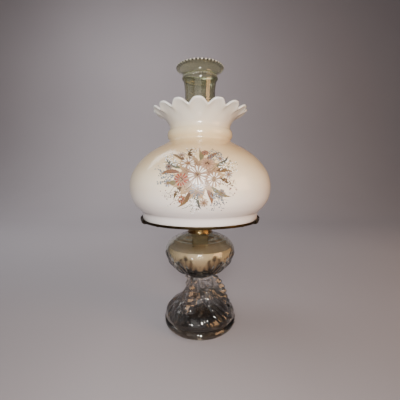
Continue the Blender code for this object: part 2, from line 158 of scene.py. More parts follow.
# %% Curves
def eased(points, steps=10):
    """A smooth curve through points: on each span the Catmull-Rom cubic, which leaves a point in the
    direction from the point before it to the point after it."""
    p = np.array(points, float)
    p = np.vstack([2 * p[0] - p[1], p, 2 * p[-1] - p[-2]])
    a, b, c, d = (p[i:len(p) - 3 + i, None] for i in range(4))
    t = np.arange(steps)[:, None] / steps
    curve = b + (c - a + (2 * a - 5 * b + 4 * c - d + (3 * (b - c) + d - a) * t) * t) * t / 2
    return np.vstack([curve.reshape(-1, p.shape[1]), p[-2]])


def rounded(corners, radius, steps=4, closed=True):
    """The outline with each corner c cut back by radius to a and b and rounded by the quadratic curve
    (1-t)(1-t) a + 2t(1-t) c + t t b. An open outline keeps its two ends."""
    p = np.array(corners, float)

    def cut_back(toward):
        length = np.linalg.norm(toward, axis=1, keepdims=True)
        step = toward / length * np.minimum(radius, 0.45 * length)
        if not closed:
            step[[0, -1]] = 0
        return p + step

    t = np.linspace(0, 1, steps + 1)[:, None]
    before = cut_back(np.roll(p, 1, axis=0) - p)[:, None]
    after = cut_back(np.roll(p, -1, axis=0) - p)[:, None]
    curve = before * (1 - t) ** 2 + p[:, None] * 2 * t * (1 - t) + after * t**2
    return curve.reshape(-1, p.shape[1])


def lengths(curve):
    """The length of the curve up to each of its points."""
    return np.concatenate([[0], np.cumsum(np.linalg.norm(np.diff(curve, axis=0), axis=1))])


def spaced(curve, count, start=0.0, end=0.0):
    """count points at even distances along the curve, leaving out the given lengths at its two ends."""
    along = lengths(curve)
    at = np.linspace(start, along[-1] - end, count)
    return np.stack([np.interp(at, along, axis) for axis in curve.T], axis=-1)


def smooth_step(value, low, high):
    """0 below low, 1 above high, and t t (3 - 2t) between them."""
    t = np.clip((value - low) / (high - low), 0, 1)
    return t * t * (3 - 2 * t)


# %% Grids of points
def turned(outline, steps=180, shape=None):
    """Carries each (radius, height) of the outline round +Z: x = r cos a, y = r sin a. The outline runs
    down the outer side. shape changes radius and height by radius, angle and height."""
    angle = np.linspace(0, TURN, steps, endpoint=False)
    outline = np.asarray(outline, float)
    radius, height = outline[:, :1] + 0 * angle, outline[:, 1:] + 0 * angle
    if shape:
        radius, height = shape(radius, angle, height)
    return np.stack([radius * np.cos(angle), radius * np.sin(angle), height], axis=-1)


def outward(skin):
    """The unit normal and the unit slope down the rows at each point of a turned skin."""
    down = np.gradient(skin, axis=0)
    across = np.roll(skin, -1, axis=1) - np.roll(skin, 1, axis=1)
    normal = np.cross(down, across)
    return (grid / np.linalg.norm(grid, axis=-1, keepdims=True) for grid in (normal, down))


def shell(skin, wall, steps=5):
    """A closed wall under a skin: the inner skin is wall deeper along the normal, and half circles of
    that thickness join the two skins past both ends."""
    normal, down = outward(skin)
    bend = np.linspace(0, np.pi, steps + 2)[1:-1, None, None]

    def end(row, way):
        middle = skin[row] - normal[row] * wall / 2
        return middle + wall / 2 * (np.cos(bend) * normal[row] + way * np.sin(bend) * down[row])

    inner = skin - wall * normal
    return np.concatenate([skin, end(-1, 1), inner[::-1], end(0, -1)[::-1]])


def strip(path, width, thickness, azimuth=0.0, edge=0.35):
    """A flat strip along a path of (radius, height), its width across it: a section of
    (across, up) offsets, |across/w|^n + |up/h|^n = 1, stands on each point, and each end closes on its
    middle. azimuth turns the strip about +Z, in degrees."""
    path = np.asarray(path, float)
    path = path[np.append(True, np.linalg.norm(np.diff(path, axis=0), axis=1) > 0.001)]
    a = np.linspace(0, TURN, 40, endpoint=False)
    across = np.sign(np.sin(a)) * np.abs(np.sin(a)) ** edge * width / 2
    up = np.sign(np.cos(a)) * np.abs(np.cos(a)) ** edge * thickness / 2
    along = np.gradient(path, axis=0)
    along /= np.linalg.norm(along, axis=1, keepdims=True)
    out = path[:, :1] - along[:, 1:] * up
    high = path[:, 1:] + along[:, :1] * up
    side = np.broadcast_to(across, out.shape)
    body = np.stack([out, side, high], axis=-1)
    ends = body[[0, -1]].mean(axis=1, keepdims=True) + 0 * body[[0, -1]]
    return around(np.concatenate([ends[:1], body, ends[1:]]), azimuth)


def around(points, azimuth):
    """The points turned about +Z by an angle in degrees."""
    c, s = math.cos(math.radians(azimuth)), math.sin(math.radians(azimuth))
    return points @ np.array([[c, s, 0], [-s, c, 0], [0, 0, 1]])


def stadium(half_width, half_depth, heights, steps=48):
    """A block with round sides, at each height the section x = (w - d) sign(cos a) + d cos a,
    y = d sin a. heights may go down outside and up inside when the half sizes are lists too."""
    a = np.linspace(0, TURN, steps, endpoint=False)
    w, d, z = (np.broadcast_to(v, len(heights))[:, None] + 0 * a for v in (half_width, half_depth, heights))
    return np.stack([(w - d) * np.sign(np.round(np.cos(a), 6)) + d * np.cos(a), d * np.sin(a), z], axis=-1)


def capped(points):
    """Closes both ends of a block round +Z on a point of its axis."""
    poles = points[[0, -1]] * (0, 0, 1)
    return np.concatenate([poles[:1], points, poles[1:]])


# %% Meshes from grids
SHARP_EDGE = math.radians(40)  # faces that meet at more than this angle keep a sharp edge between them


def surface(name, points, rows_close=False):
    """A mesh on a grid (rows, columns, 3) of millimetres, whose columns close on themselves. Points
    that meet, such as those of a pole, become one."""
    rows, columns = points.shape[:2]
    index = np.arange(rows * columns).reshape(rows, columns)
    index = np.hstack([index, index[:, :1]])
    if rows_close:
        index = np.vstack([index, index[:1]])
    corners = np.stack([index[:-1, :-1], index[1:, :-1], index[1:, 1:], index[:-1, 1:]], axis=-1)
    mesh = bpy.data.meshes.new(name)
    mesh.from_pydata((points.reshape(-1, 3) * MM).tolist(), [], corners.reshape(-1, 4).tolist())
    weld(mesh)
    mesh.shade_smooth()
    mesh.set_sharp_from_angle(angle=SHARP_EDGE)
    obj = bpy.data.objects.new(name, mesh)
    bpy.context.scene.collection.objects.link(obj)
    return obj


def weld(mesh):
    """Joins points that are less than a hundredth of a millimetre apart."""
    build = bmesh.new()
    build.from_mesh(mesh)
    bmesh.ops.remove_doubles(build, verts=build.verts, dist=0.01 * MM)
    build.to_mesh(mesh)
    build.free()


def finished(obj, finish, *nodes):
    """Gives a piece its finish. It rides with its first node's body, and all of the nodes are hidden."""
    obj.data.materials.clear()
    obj.data.materials.append(finish)
    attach(obj, BODY_OF[nodes[0]])
    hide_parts(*nodes)
    print(f"{obj.name}: {len(obj.data.polygons)} faces for {', '.join(nodes)}")
    return obj


def marked(piece, name, value):
    """Writes value(radius, angle, height) of each point of a piece, in millimetres, as its attribute name."""
    place = np.empty(3 * len(piece.data.vertices), np.float32)
    piece.data.vertices.foreach_get("co", place)
    x, y, z = place.reshape(-1, 3).T / MM
    numbers = value(np.hypot(x, y), np.arctan2(y, x), z).astype(np.float32)
    piece.data.attributes.new(name, "FLOAT", "POINT").data.foreach_set("value", numbers)


# %% [markdown]
# ## Shader arithmetic
#
# A finish is a small sum: so much tarnish here, a little more gloss there. Wrapping a socket in a class
# that knows + - and * lets that sum be written as one line of Python, and each operator adds its Math
# node. All other nodes come from one method, so that a finish reads from top to bottom.


# %% A socket that can be added and multiplied
class Value:
    """A number that changes over the surface, as a shader socket."""

    def __init__(self, finish, socket):
        self.finish = finish
        self.socket = socket

    def math(self, operation, *others):
        return self.finish.node("ShaderNodeMath", {"operation": operation}, [self, *others])

    def __add__(self, other):
        return self.math("ADD", other)

    def __sub__(self, other):
        return self.math("SUBTRACT", other)

    def __rsub__(self, other):
        return self.finish.node("ShaderNodeMath", {"operation": "SUBTRACT"}, [other, self])

    def __mul__(self, other):
        return self.math("MULTIPLY", other)

    def __truediv__(self, other):
        return self.math("DIVIDE", other)

    __radd__ = __add__
    __rmul__ = __mul__

    def between(self, low, high):
        """0 where the value is under low, 1 where it is over high, and smooth between."""
        settings = {"interpolation_type": "SMOOTHSTEP"}
        return self.finish.node("ShaderNodeMapRange", settings, {0: self, 1: low, 2: high})


# %% A finish that is made node by node
class Finish:
    """A material: node() adds a node, and what varies is fed to the shader by name."""

    def __init__(self, name, **constants):
        self.material = bpy.data.materials.new(name)
        self.material.use_nodes = True
        self.tree = self.material.node_tree
        self.shader = self.tree.nodes["Principled BSDF"]
        self.feed(**constants)
        self.place = self.node("ShaderNodeTexCoord", output="Object")
        self.x, self.y, self.z = (self.node("ShaderNodeSeparateXYZ", {}, [self.place], i) for i in range(3))

    def node(self, kind, settings=None, inputs=(), output=0):
        """Adds a node, sets its settings and then its inputs, and returns one of its outputs."""
        node = self.tree.nodes.new(kind)
        for key, value in (settings or {}).items():
            if key == "stops":
                self.set_stops(node.color_ramp.elements, value)
            else:
                setattr(node, key, value)
        for key, value in inputs.items() if isinstance(inputs, dict) else enumerate(inputs):
            self.join(node.inputs[key], value)
        return Value(self, node.outputs[output])

    def set_stops(self, elements, stops):
        while len(elements) < len(stops):
            elements.new(1.0)
        for element, (position, color) in zip(elements, stops):
            element.position = position
            element.color = color

    def join(self, socket, value):
        if isinstance(value, Value):
            self.tree.links.new(value.socket, socket)
        else:
            socket.default_value = value

    def feed(self, **sockets):
        """Sets or links the shader's sockets. Their names are written with _ for a space."""
        for name, value in sockets.items():
            self.join(self.shader.inputs[name.replace("_", " ")], value)

    def noise(self, scale, detail=3.0, stretch=(1, 1, 1)):
        """Cloudy noise from 0 to 1, with about scale lumps to a metre."""
        place = self.place
        if stretch != (1, 1, 1):
            place = self.node("ShaderNodeMapping", {}, {"Vector": place, "Scale": stretch})
        return self.node("ShaderNodeTexNoise", {}, {"Vector": place, "Scale": scale, "Detail": detail})

    def mix(self, mask, first, second, blend="MIX"):
        """The color first where mask is 0 and second where it is 1."""
        settings = {"data_type": "RGBA", "blend_type": blend, "clamp_factor": True}
        return self.node("ShaderNodeMix", settings, {0: mask, 6: first, 7: second}, 2)

    def ramp(self, value, stops):
        return self.node("ShaderNodeValToRGB", {"stops": stops}, [value])

    def raise_by(self, height, distance):
        """A bump of the height, which goes from 0 to 1, over a distance in millimetres."""
        bump = self.node("ShaderNodeBump", {}, {"Height": height, "Distance": distance * MM}, "Normal")
        self.feed(Normal=bump)


def color(red, green, blue):
    """A color as it looks on a screen, 0 to 255, as the linear numbers that a shader takes."""
    return tuple(np.power(np.array([red, green, blue]) / 255, 2.2).tolist()) + (1.0,)


# %% [markdown]
# ## Finishes
#
# Old lamp brass is golden where hands and cloth polish it and reddish brown where they don't reach, with
# fine rings from the spinning lathe. The shade holder under the shade gets a brass painted much darker, as
# painted shade. The foot's bell is tinted dark as painted shade, and the font and chimney are clear with a
# faint olive cast. An attribute on the mesh says where the font has its petals and the crown its beads: the
# finish paints shade into the petals' hollows and paints the beads milky as painted glints. Pressed and
# blown glass are never quite flat, so a slow, shallow bump bends their reflections.


# %% Brass
def brass(name, rings=0.0, dullness=0.0, gold=((176, 138, 74), (206, 172, 104)),
          brown=((96, 62, 36), (134, 94, 56))):
    """Lacquered brass with brown patches. rings is how deep the lathe's rings are, in millimetres."""
    finish = Finish(name, Metallic=1.0)
    patches = finish.noise(90, 6).between(0.42 - dullness, 0.72)
    fine = finish.noise(700, 4)
    gold = finish.mix(fine, *(color(*tint) for tint in gold))
    aged = finish.mix(finish.noise(260, 4), *(color(*tint) for tint in brown))
    finish.feed(Base_Color=finish.mix(patches, gold, aged), Roughness=0.2 + patches * 0.22 + fine * 0.12)
    wave = ((finish.z * (TURN / (0.5 * MM))).math("SINE") * 0.5 + 0.5) * rings
    finish.raise_by(wave + fine * 0.02, 1.0)
    return finish.material


SPUN = brass("spun_brass", rings=0.015, dullness=0.04, gold=((168, 140, 92), (200, 174, 124)))
STRIP_BRASS = brass("strip_brass", dullness=0.08)
# painted shade: the holder under the shade, and the hidden wheels, get a brass painted much darker
SHADED_BRASS = brass("brass_painted_shade", dullness=0.3, gold=((70, 60, 42), (96, 82, 56)),
                   brown=((42, 34, 24), (60, 50, 36)))


# %% Glass
def clear_glass():
    """Clear glass with shallow waves 0.12 mm high and faint smears."""
    finish = Finish("clear_glass_fine", Transmission_Weight=1.0, IOR=1.5)
    waves = finish.noise(45, 2)
    smears = finish.noise(160, 5, (1, 1, 0.3)).between(0.5, 0.8)
    finish.feed(Base_Color=finish.mix(waves, color(236, 236, 228), color(214, 214, 202)),
                Roughness=0.008 + smears * 0.04)
    finish.raise_by(waves, 0.12)
    return finish.material


def font_glass():
    """The font's glass, with painted shade in the petals: darker where the attribute petal marks a hollow."""
    finish = Finish("font_glass_fine", Transmission_Weight=1.0, IOR=1.5)
    waves = finish.noise(45, 2)
    wall = finish.mix(waves, color(236, 238, 226), color(214, 216, 200))
    petal = finish.node("ShaderNodeAttribute", {"attribute_name": "petal"}, (), "Fac")
    # painted shade: the petals' hollows are tinted dark
    finish.feed(Base_Color=finish.mix(petal, wall, color(104, 98, 88)), Roughness=0.01 + waves * 0.02)
    finish.raise_by(waves, 0.12)
    return finish.material


def crown_glass():
    """The chimney's glass, olive where it flares, with beads painted milky white as painted glints: the
    attribute bead is 1 on a bead's middle."""
    finish = Finish("chimney_glass_fine", Transmission_Weight=1.0, IOR=1.5)
    waves = finish.noise(45, 2)
    flare = finish.z.between(364 * MM, 384 * MM)
    wall = finish.mix(waves, color(230, 230, 210), color(210, 210, 186))
    finish.feed(Base_Color=finish.mix(flare, wall, color(196, 198, 164)), Roughness=0.01 + waves * 0.02)
    finish.raise_by(waves, 0.12)
    bead = finish.node("ShaderNodeAttribute", {"attribute_name": "bead"}, (), "Fac").between(0.5, 0.85)
    # painted glints: the beads' middles turn a milky white
    painted_glint = finish.node("ShaderNodeBsdfPrincipled", {},
                        {"Base Color": color(250, 244, 222), "Roughness": 0.25})
    clear = Value(finish, finish.shader.outputs[0])
    mixed = finish.node("ShaderNodeMixShader", {}, [bead * 0.9, clear, painted_glint])
    finish.join(finish.tree.nodes["Material Output"].inputs["Surface"], mixed)
    return finish.material


def foot_glass():
    """Clear pressed glass, its tint painted dark in the bell as painted shade, and paler up the stem and at
    the rim's edge.
    """
    finish = Finish("foot_glass_painted_shade", Transmission_Weight=1.0, IOR=1.5)
    waves = finish.noise(70, 2)
    # painted shade: the bell is tinted dark and the stem pale, for the dark surroundings seen through the
    # clear glass
    stem = (finish.z + (waves - 0.5) * 20 * MM).between(38 * MM, 62 * MM)
    foot = 1 - finish.z.between(8 * MM, 18 * MM)
    tint = finish.mix(stem, color(150, 148, 144), color(232, 230, 224))
    tint = finish.mix(foot * 0.6, tint, color(190, 176, 150))
    finish.feed(Base_Color=tint, Roughness=0.01 + finish.noise(160, 5).between(0.5, 0.8) * 0.03)
    finish.raise_by(waves, 0.2)
    return finish.material


CLEAR, SHADED_FOOT_GLASS = clear_glass(), foot_glass()


# %% Oil, plaster and cotton
def oil_finish():
    """Amber oil, painted as a pale peach body that is lighter towards its top: painted light for the bright
    surroundings seen through the clear oil.
    """
    finish = Finish("lamp_oil_painted_light", Transmission_Weight=0.15, IOR=1.45, Roughness=0.12)
    painted_light_rise = finish.z.between(box("lamp_oil")[0][2] * MM, box("lamp_oil")[1][2] * MM)
    # painted light: the oil is a bright, mostly opaque body, paler at its top
    finish.feed(Base_Color=finish.mix(painted_light_rise, color(236, 184, 146), color(255, 224, 196)))
    return finish.material


def plaster_finish():
    finish = Finish("plaster_fine")
    grain = finish.noise(900, 6)
    finish.feed(Base_Color=finish.mix(grain, color(176, 168, 150), color(214, 208, 192)), Roughness=0.9)
    finish.raise_by(grain, 0.15)
    return finish.material


def cotton_finish():
    """Woven cotton, dark where oil has soaked it and charred over its last two millimetres."""
    finish = Finish("wick_cotton_fine", Roughness=0.95)
    top = box("wick")[1][2]
    weave = (finish.x * (TURN / (0.9 * MM))).math("SINE") * (finish.z * (TURN / (1.3 * MM))).math("SINE")
    char = (finish.z + finish.noise(500, 3) * 1.5 * MM).between((top - 3.2) * MM, (top - 0.6) * MM)
    cotton = finish.mix(weave * 0.5 + 0.5, color(196, 186, 160), color(226, 218, 196))
    soaked = 1 - finish.z.between((top - 46) * MM, (top - 30) * MM)
    cotton = finish.mix(soaked, cotton, color(146, 136, 120))
    finish.feed(Base_Color=finish.mix(char, cotton, color(28, 22, 18)))
    finish.raise_by(weave, 0.12)
    return finish.material


OIL_PAINTED_LIGHT, PLASTER, COTTON = oil_finish(), plaster_finish(), cotton_finish()

# %% [markdown]
# ## The pressed foot
#
# The foot was pressed in one mold with its stem: a low bell with a stepped rim, and three brackets that
# bow out from the stem, with a leaf hanging between each two and fine folds down the bell. A carver would
# cut these; here they are a sum of smooth hills that is added to the turned radius, with the leaf's rim
# and midrib as ridges.

# %% Foot outline
FOOT_LOW, FOOT_HIGH = box("pedestal")
STEM_TOP = FOOT_HIGH[2]
BRACKETS = 3
BRACKET_SIDE = np.array([(35, 47), (41, 43.4), (47.5, 42.2), (55, 40.6), (62, 37), (70, 32.5), (76, 27),
                         (80.6, 20.5)])
BRACKET_SPREAD = math.radians(15)
LEAF_TIP = 35
LEAF_RISE = 2.4

bell = eased([(20.2, 79.6), (19.6, 74), (19, 68), (19.6, 61), (21, 55), (24.5, 47.5), (31, 41.5),
              (40.5, 35.5), (48, 30.5), (53.5, 23), (55.5, 15.8)], 14)
stem_top = rounded([(0, STEM_TOP), (20.5, STEM_TOP), (20.2, 79.6)], 0.6, closed=False)
rim = eased([(54.3, 14.2), (56.1, 13.2), (56.4, 12.2), (55.1, 11.2), (56.5, 8.6), (55.4, 4.5), (52.5, 1.2),
             (49.5, 0)], 5)
hollow = eased([(45.5, 0), (43.3, 2), (42, 12), (37.5, 20), (28, 26.5), (17, 30), (8, 31.3), (0, 31.5)], 5)
foot_outline = np.vstack([stem_top[:-1], bell, rim, hollow])


# %% Foot relief
def pressed_foot(radius, angle, height):
    """radius + bracket hills exp(-(a/spread)^2) up to the bracket's side line, with scrolls across them,
    + leaves, whose width grows from the tip up, with a raised rim, a midrib and a rosette, + the bell's
    folds."""
    beat = TURN / BRACKETS
    off_bracket = np.abs((angle + beat / 2) % beat - beat / 2)
    off_leaf = beat / 2 - off_bracket
    bow = np.maximum(np.interp(height, *BRACKET_SIDE.T) - radius, 0)
    bow *= (height > LEAF_TIP) * np.exp(-((off_bracket / BRACKET_SPREAD) ** 2))
    outside = (radius > 15) & (height < STEM_TOP - 1) & (height > 14.5)
    width = np.clip((height - LEAF_TIP) / 20, 0, 1) ** 0.7 * math.radians(32)
    edge = (width - off_leaf) / math.radians(10)
    on_leaf = smooth_step(edge, 0, 1) * (height < STEM_TOP - 4)
    ridge = 0.8 * np.exp(-(((edge - 0.55) / 0.25) ** 2)) * (width > 0.05)
    midrib = 0.8 * np.exp(-((off_leaf / math.radians(2.5)) ** 2)) * on_leaf
    rosette = 0.9 * np.cos(9 * off_leaf) * np.cos(TURN * (height - 64) / 11) * on_leaf
    rosette *= smooth_step(height, 50, 56)
    on_bracket = np.exp(-((off_bracket / BRACKET_SPREAD) ** 2)) * smooth_step(height, 24, 36)
    scrolls = 1.1 * np.cos(TURN * height / 8.5 + 9 * off_bracket) * on_bracket
    scrolls += 0.8 * np.cos(26 * off_bracket) * on_bracket
    sweep = angle + 0.012 * (height - 20)
    folds = np.exp(-((np.sin(7 * sweep) / 0.35) ** 2)) + 0.7 * np.exp(-((np.sin(11 * sweep + 1) / 0.3) ** 2))
    folds *= 1.5 * smooth_step(height, 17, 28) * (1 - smooth_step(height, 48, 56))
    detail = (ridge + midrib + rosette + scrolls + folds) * smooth_step(STEM_TOP - height, 1, 5)
    return radius + bow + (LEAF_RISE * on_leaf + detail) * outside, height


finished(surface("glass_pedestal", turned(foot_outline, 384, pressed_foot)), SHADED_FOOT_GLASS, "pedestal")

# %% [markdown]
# ## Wafer, font and oil
#
# A wafer of hot glass joins the foot to the font, the bowl that holds the oil. Pressed petals fan up the
# font's lower half, and its shoulder has two fine steps. The petals are sunk into the turned surface,
# so the font keeps its outer size.

# %% Wafer
wafer_low, wafer_high = box("stem_wafer")
wafer = rounded([(0, wafer_high[2]), (20.6, wafer_high[2]), (22.2, wafer_high[2] - 1.25),
                 (20.6, wafer_low[2]), (0, wafer_low[2])], 0.8, closed=False)
finished(surface("glass_wafer", turned(wafer)), CLEAR, "stem_wafer")

# %% Font
FONT_LOW, FONT_HIGH = box("font")
NECK_RADIUS, NECK_BORE = 15.2, 13.4
PETALS = 8
PETAL_TOP = 127

font_side = eased([(17, 147.2), (22.5, 146.6), (34, 143.6), (45.5, 137.4), (52, 129.2), (55, 121),
                   (54.4, 113), (51.8, 105), (46, 96.6), (37.6, 90.2), (28.5, 86.2), (21.5, 83.7)], 12)
font_inside = eased([(12, 88), (24, 90), (36, 95), (44, 102), (49.2, 110), (51.6, 119), (49, 127.5),
                     (43, 134.2), (33, 139.8), (23, 143), (15.5, 144.6), (NECK_BORE, 147)], 8)
neck = rounded([(NECK_BORE, 147), (NECK_BORE, FONT_HIGH[2]), (NECK_RADIUS, FONT_HIGH[2]),
                (NECK_RADIUS, 147.8), (17, 147.2)], 0.5, closed=False)
font_outline = np.vstack([[(0, 87.4)], font_inside[:-1], neck[:-1], font_side, [(0, 83.7)]])


def petal_edge(angle, height):
    """How far inside a petal's outline a point is: 1.02 sin(pi (0.2 + 0.8 rise))^0.7 - the way off its
    middle line, both as a share of the petal's beat."""
    beat = TURN / PETALS
    off = np.abs((angle + TURN / 4) % beat - beat / 2) / (beat / 2)
    rise = np.clip((height - FONT_LOW[2]) / (PETAL_TOP - FONT_LOW[2]), 0, 1)
    return 1.02 * np.sin(np.pi * (0.2 + 0.8 * rise)).clip(0) ** 0.7 - off, off, rise


def pressed_font(radius, angle, height):
    """Petals as dishes 2 mm deep, with veins. The glass between them is 0.6 mm lower and finely folded,
    and two steps 0.7 mm deep ring the shoulder."""
    outer = np.zeros_like(radius)
    outer[len(font_inside) + len(neck) - 1:] = 1
    edge, off, rise = petal_edge(angle, height)
    between = 0.6 * (1 - smooth_step(edge, -0.15, 0)) + 0.3 * np.cos(64 * angle) * (edge < -0.1)
    dish = 2.0 * smooth_step(edge, 0.02, 0.35) - 0.9 * np.exp(-((off / 0.08) ** 2)) * (edge > 0.1)
    side_veins = 0.4 * np.cos(TURN * (rise * 3 - off * 2.2)) * smooth_step(edge, 0.1, 0.3)
    fade = smooth_step(height, FONT_LOW[2], 88) * (1 - smooth_step(height, 119, PETAL_TOP + 1))
    steps = sum(np.exp(-(((height - level) / 0.6) ** 2)) for level in (139.4, 142.4))
    return radius - outer * ((between + dish + side_veins + 0.3) * fade + 0.7 * steps), height


def petal_shadow(radius, angle, height):
    """The painted shade's mask: 1 in the hollow of a petal, in stripes along its veins, and 0 outside and on
    the inner wall.
    """
    edge, off, rise = petal_edge(angle, height)
    stripes = 0.62 + 0.38 * np.cos(TURN * (rise * 1.2 - off * 2.2))
    outside = radius > np.interp(height, font_side[::-1, 1], font_side[::-1, 0]) - 3.6
    fade = (height < PETAL_TOP) * smooth_step(height, 84, 88)
    return smooth_step(edge, 0.02, 0.3) * stripes * outside * fade


font = finished(surface("glass_font", turned(font_outline, 384, pressed_font)), font_glass(), "font")
marked(font, "petal", petal_shadow)

# %% Oil, with the meniscus that climbs the glass
OIL_LEVEL = box("lamp_oil")[1][2]
oil_side = eased([(48.5, OIL_LEVEL), (51.0, 119), (48.7, 110.1), (43.5, 102.4), (35.7, 95.5), (23.8, 90.5),
                  (12, 88.5), (0, 87.9)])
oil_top = eased([(0, OIL_LEVEL - 0.7), (24, OIL_LEVEL - 0.7), (44, OIL_LEVEL - 0.7), (48.5, OIL_LEVEL)], 5)
finished(surface("oil_fill", turned(np.vstack([oil_top[:-1], oil_side]))), OIL_PAINTED_LIGHT, "lamp_oil")

# %% [markdown]
# ## Collar
#
# The brass collar is cemented round the font's neck with plaster. It is a short spun tube with a bead
# at its foot and rolled rings where the burner's thread was pressed in. The rings are a sine wave on its
# radius, which fades at both ends.

# %% Collar and cement
COLLAR_LOW, COLLAR_HIGH = box("collar")
collar_top, collar_foot = COLLAR_HIGH[2], COLLAR_LOW[2]
COLLAR_RADIUS, COLLAR_BORE = 18.3, 16.2
RING_PITCH, RING_DEPTH = 1.9, 0.3
side = np.linspace(collar_top - 1, collar_foot + 2, 60)
fade = smooth_step(side, collar_foot + 2, collar_foot + 3.5)
fade *= 1 - smooth_step(side, collar_top - 2.5, collar_top - 1)
rolled = COLLAR_RADIUS - RING_DEPTH * fade * (1 - np.cos(TURN * side / RING_PITCH)) / 2
rolled = np.stack([rolled, side], axis=-1)
collar_head = rounded([(COLLAR_BORE, collar_top), (COLLAR_RADIUS - 0.1, collar_top),
                       (COLLAR_RADIUS, collar_top - 1)], 0.4, closed=False)
collar_bead = rounded([(COLLAR_RADIUS, collar_foot + 2), (COLLAR_HIGH[0], collar_foot + 1.6),
                       (COLLAR_HIGH[0], collar_foot), (COLLAR_BORE + 0.5, collar_foot)], 0.6, closed=False)
collar_inside = [(COLLAR_BORE + 0.5, FONT_HIGH[2] + 0.4), (COLLAR_BORE, FONT_HIGH[2] + 0.4)]
collar = np.vstack([collar_head[:-1], rolled, collar_bead[1:], collar_inside])
finished(surface("brass_collar", turned(collar), rows_close=True), SPUN, "collar")

cement_low, cement_high = box("collar_cement")
cement = rounded([(cement_high[0], cement_high[2]), (cement_high[0], cement_low[2]), (15.5, cement_low[2]),
                  (15.5, cement_high[2])], 0.3)
finished(surface("plaster_ring", turned(cement, 120), rows_close=True), PLASTER, "collar_cement")

# %% [markdown]
# ## Shade holder
#
# A flat hub is clamped between the burner and the collar, and three riveted arms run out to the ring that
# carries the shade. The arms are strips carried along a bent path, the ring is a rolled L section.

# %% Hub, ring, arms and rivets
hub_low, hub_high = box("holder_hub")
hub = rounded([(hub_high[0], hub_high[2]), (hub_high[0], hub_low[2]), (16.3, hub_low[2]),
               (16.3, hub_high[2])], 0.3)
finished(surface("brass_hub", turned(hub), rows_close=True), SHADED_BRASS, "holder_hub")

ring_low, ring_high = box("holder_ring")
ring_out, seat = ring_high[0], ring_low[2] + 1.2
ring = rounded([(ring_out, ring_high[2]), (ring_out, ring_low[2]), (84, ring_low[2]), (84, seat),
                (ring_out - 1, seat), (ring_out - 1, ring_high[2])], 0.35)
finished(surface("brass_ring", turned(ring, 360), rows_close=True), SHADED_BRASS, "holder_ring")

ARM_ANGLES = {"right": -30, "left": -150, "back": 90}
ARM_FOOT = box("holder_arm_back")[0][2] + 0.6
arm_level, arm_step, lug = ARM_FOOT + 2.2, ring_low[2] - 0.9, ring_out + 0.9
arm_path = rounded([(22.4, ARM_FOOT), (28.5, ARM_FOOT), (33.5, arm_level), (72, arm_level), (84, arm_step),
                    (lug, arm_step), (lug, ring_high[2] + 1.6)], 2.0, 6, closed=False)
RIVET_CIRCLE = 25.3
for side_name, azimuth in ARM_ANGLES.items():
    arm = strip(arm_path, 9.0, 1.15, azimuth)
    finished(surface(f"brass_arm_{side_name}", arm), SHADED_BRASS, f"holder_arm_{side_name}")
    low, high = box(f"holder_rivet_{side_name}")
    middle = (low + high) / 2 * (1, 1, 0)
    head, tail = high[2] - 0.9, low[2] + 0.9
    half = eased([(0, high[2]), (0.9, high[2] - 0.15), (1.6, high[2] - 0.5), (1.9, head)], 4)
    rivet = np.vstack([half, [(0.9, head), (0.9, tail)], half[::-1] * (1, -1) + (0, high[2] + low[2])])
    rivet = surface(f"brass_rivet_{side_name}", turned(rivet, 24) + middle)
    finished(rivet, SPUN, f"holder_rivet_{side_name}")

# %% [markdown]
# ## Burner
#
# The burner screws into the collar. Its basket lets air in below, its gallery and four springs hold the
# chimney, and the dome bends the draft onto the flame. All are spun or drawn brass, so all are turned
# outlines. Holes are cut with Booleans, from rods that are made in the same way as the pieces.


# %% Cutting holes
def rod(start, end, radius, steps=20):
    """The points of a round rod between two places."""
    start, end = np.array(start, float), np.array(end, float)
    along = (end - start) / np.linalg.norm(end - start)
    side = np.cross(along, (0, 1, 0) if abs(along[1]) < 0.9 else (1, 0, 0))
    side /= np.linalg.norm(side)
    other = np.cross(side, along)
    a = np.linspace(0, TURN, steps, endpoint=False)[:, None]
    loop = radius * (np.cos(a) * side + np.sin(a) * other)
    rings = [start + 0 * loop, start + loop, end + loop, end + 0 * loop]
    return np.stack(rings)[::-1]


def pierced(obj, cutters):
    """Cuts the cutters, a list of grids, out of the piece and keeps the resulting mesh."""
    for points in cutters:
        cutter = surface("cutter", points)
        hole = obj.modifiers.new("hole", "BOOLEAN")
        hole.object, hole.operation = cutter, "DIFFERENCE"
    bpy.context.view_layer.update()
    mesh = bpy.data.meshes.new_from_object(obj.evaluated_get(bpy.context.evaluated_depsgraph_get()))
    for cutter in {hole.object for hole in obj.modifiers}:
        bpy.data.objects.remove(cutter)
    obj.modifiers.clear()
    obj.data = mesh
    mesh.shade_smooth()
    mesh.set_sharp_from_angle(angle=SHARP_EDGE)
    return obj


def on_circle(radius, azimuth, height):
    return (radius * math.cos(math.radians(azimuth)), radius * math.sin(math.radians(azimuth)), height)


# %% Base, basket and gallery
base_low, base_high = box("burner_base")
flange_low = hub_high[2] + 0.3
TUBE_WIDTH, TUBE_DEPTH = 13.6, 2.4
VENT_Y = 8.5
thread = np.linspace(flange_low - 0.6, base_low[2] + 0.5, 70)
screw = np.stack([15.9 - 0.35 * (1 - np.cos(TURN * thread / 1.8)) / 2, thread], axis=-1)
flange = rounded([(0, base_high[2]), (base_high[0], base_high[2]), (base_high[0], flange_low),
                  (15.9, flange_low)], 0.4, closed=False)
cup = [(15.6, base_low[2]), (14.5, base_low[2]), (14.5, flange_low - 0.2), (0, flange_low - 0.2)]
base = surface("brass_base", turned(np.vstack([flange, screw, cup]), 120))
slot = capped(stadium(TUBE_WIDTH + 0.3, TUBE_DEPTH + 0.3, [170, 150]))
finished(pierced(base, [slot, rod((0, VENT_Y, 150), (0, VENT_Y, 175), 2.1)]), SPUN, "burner_base")

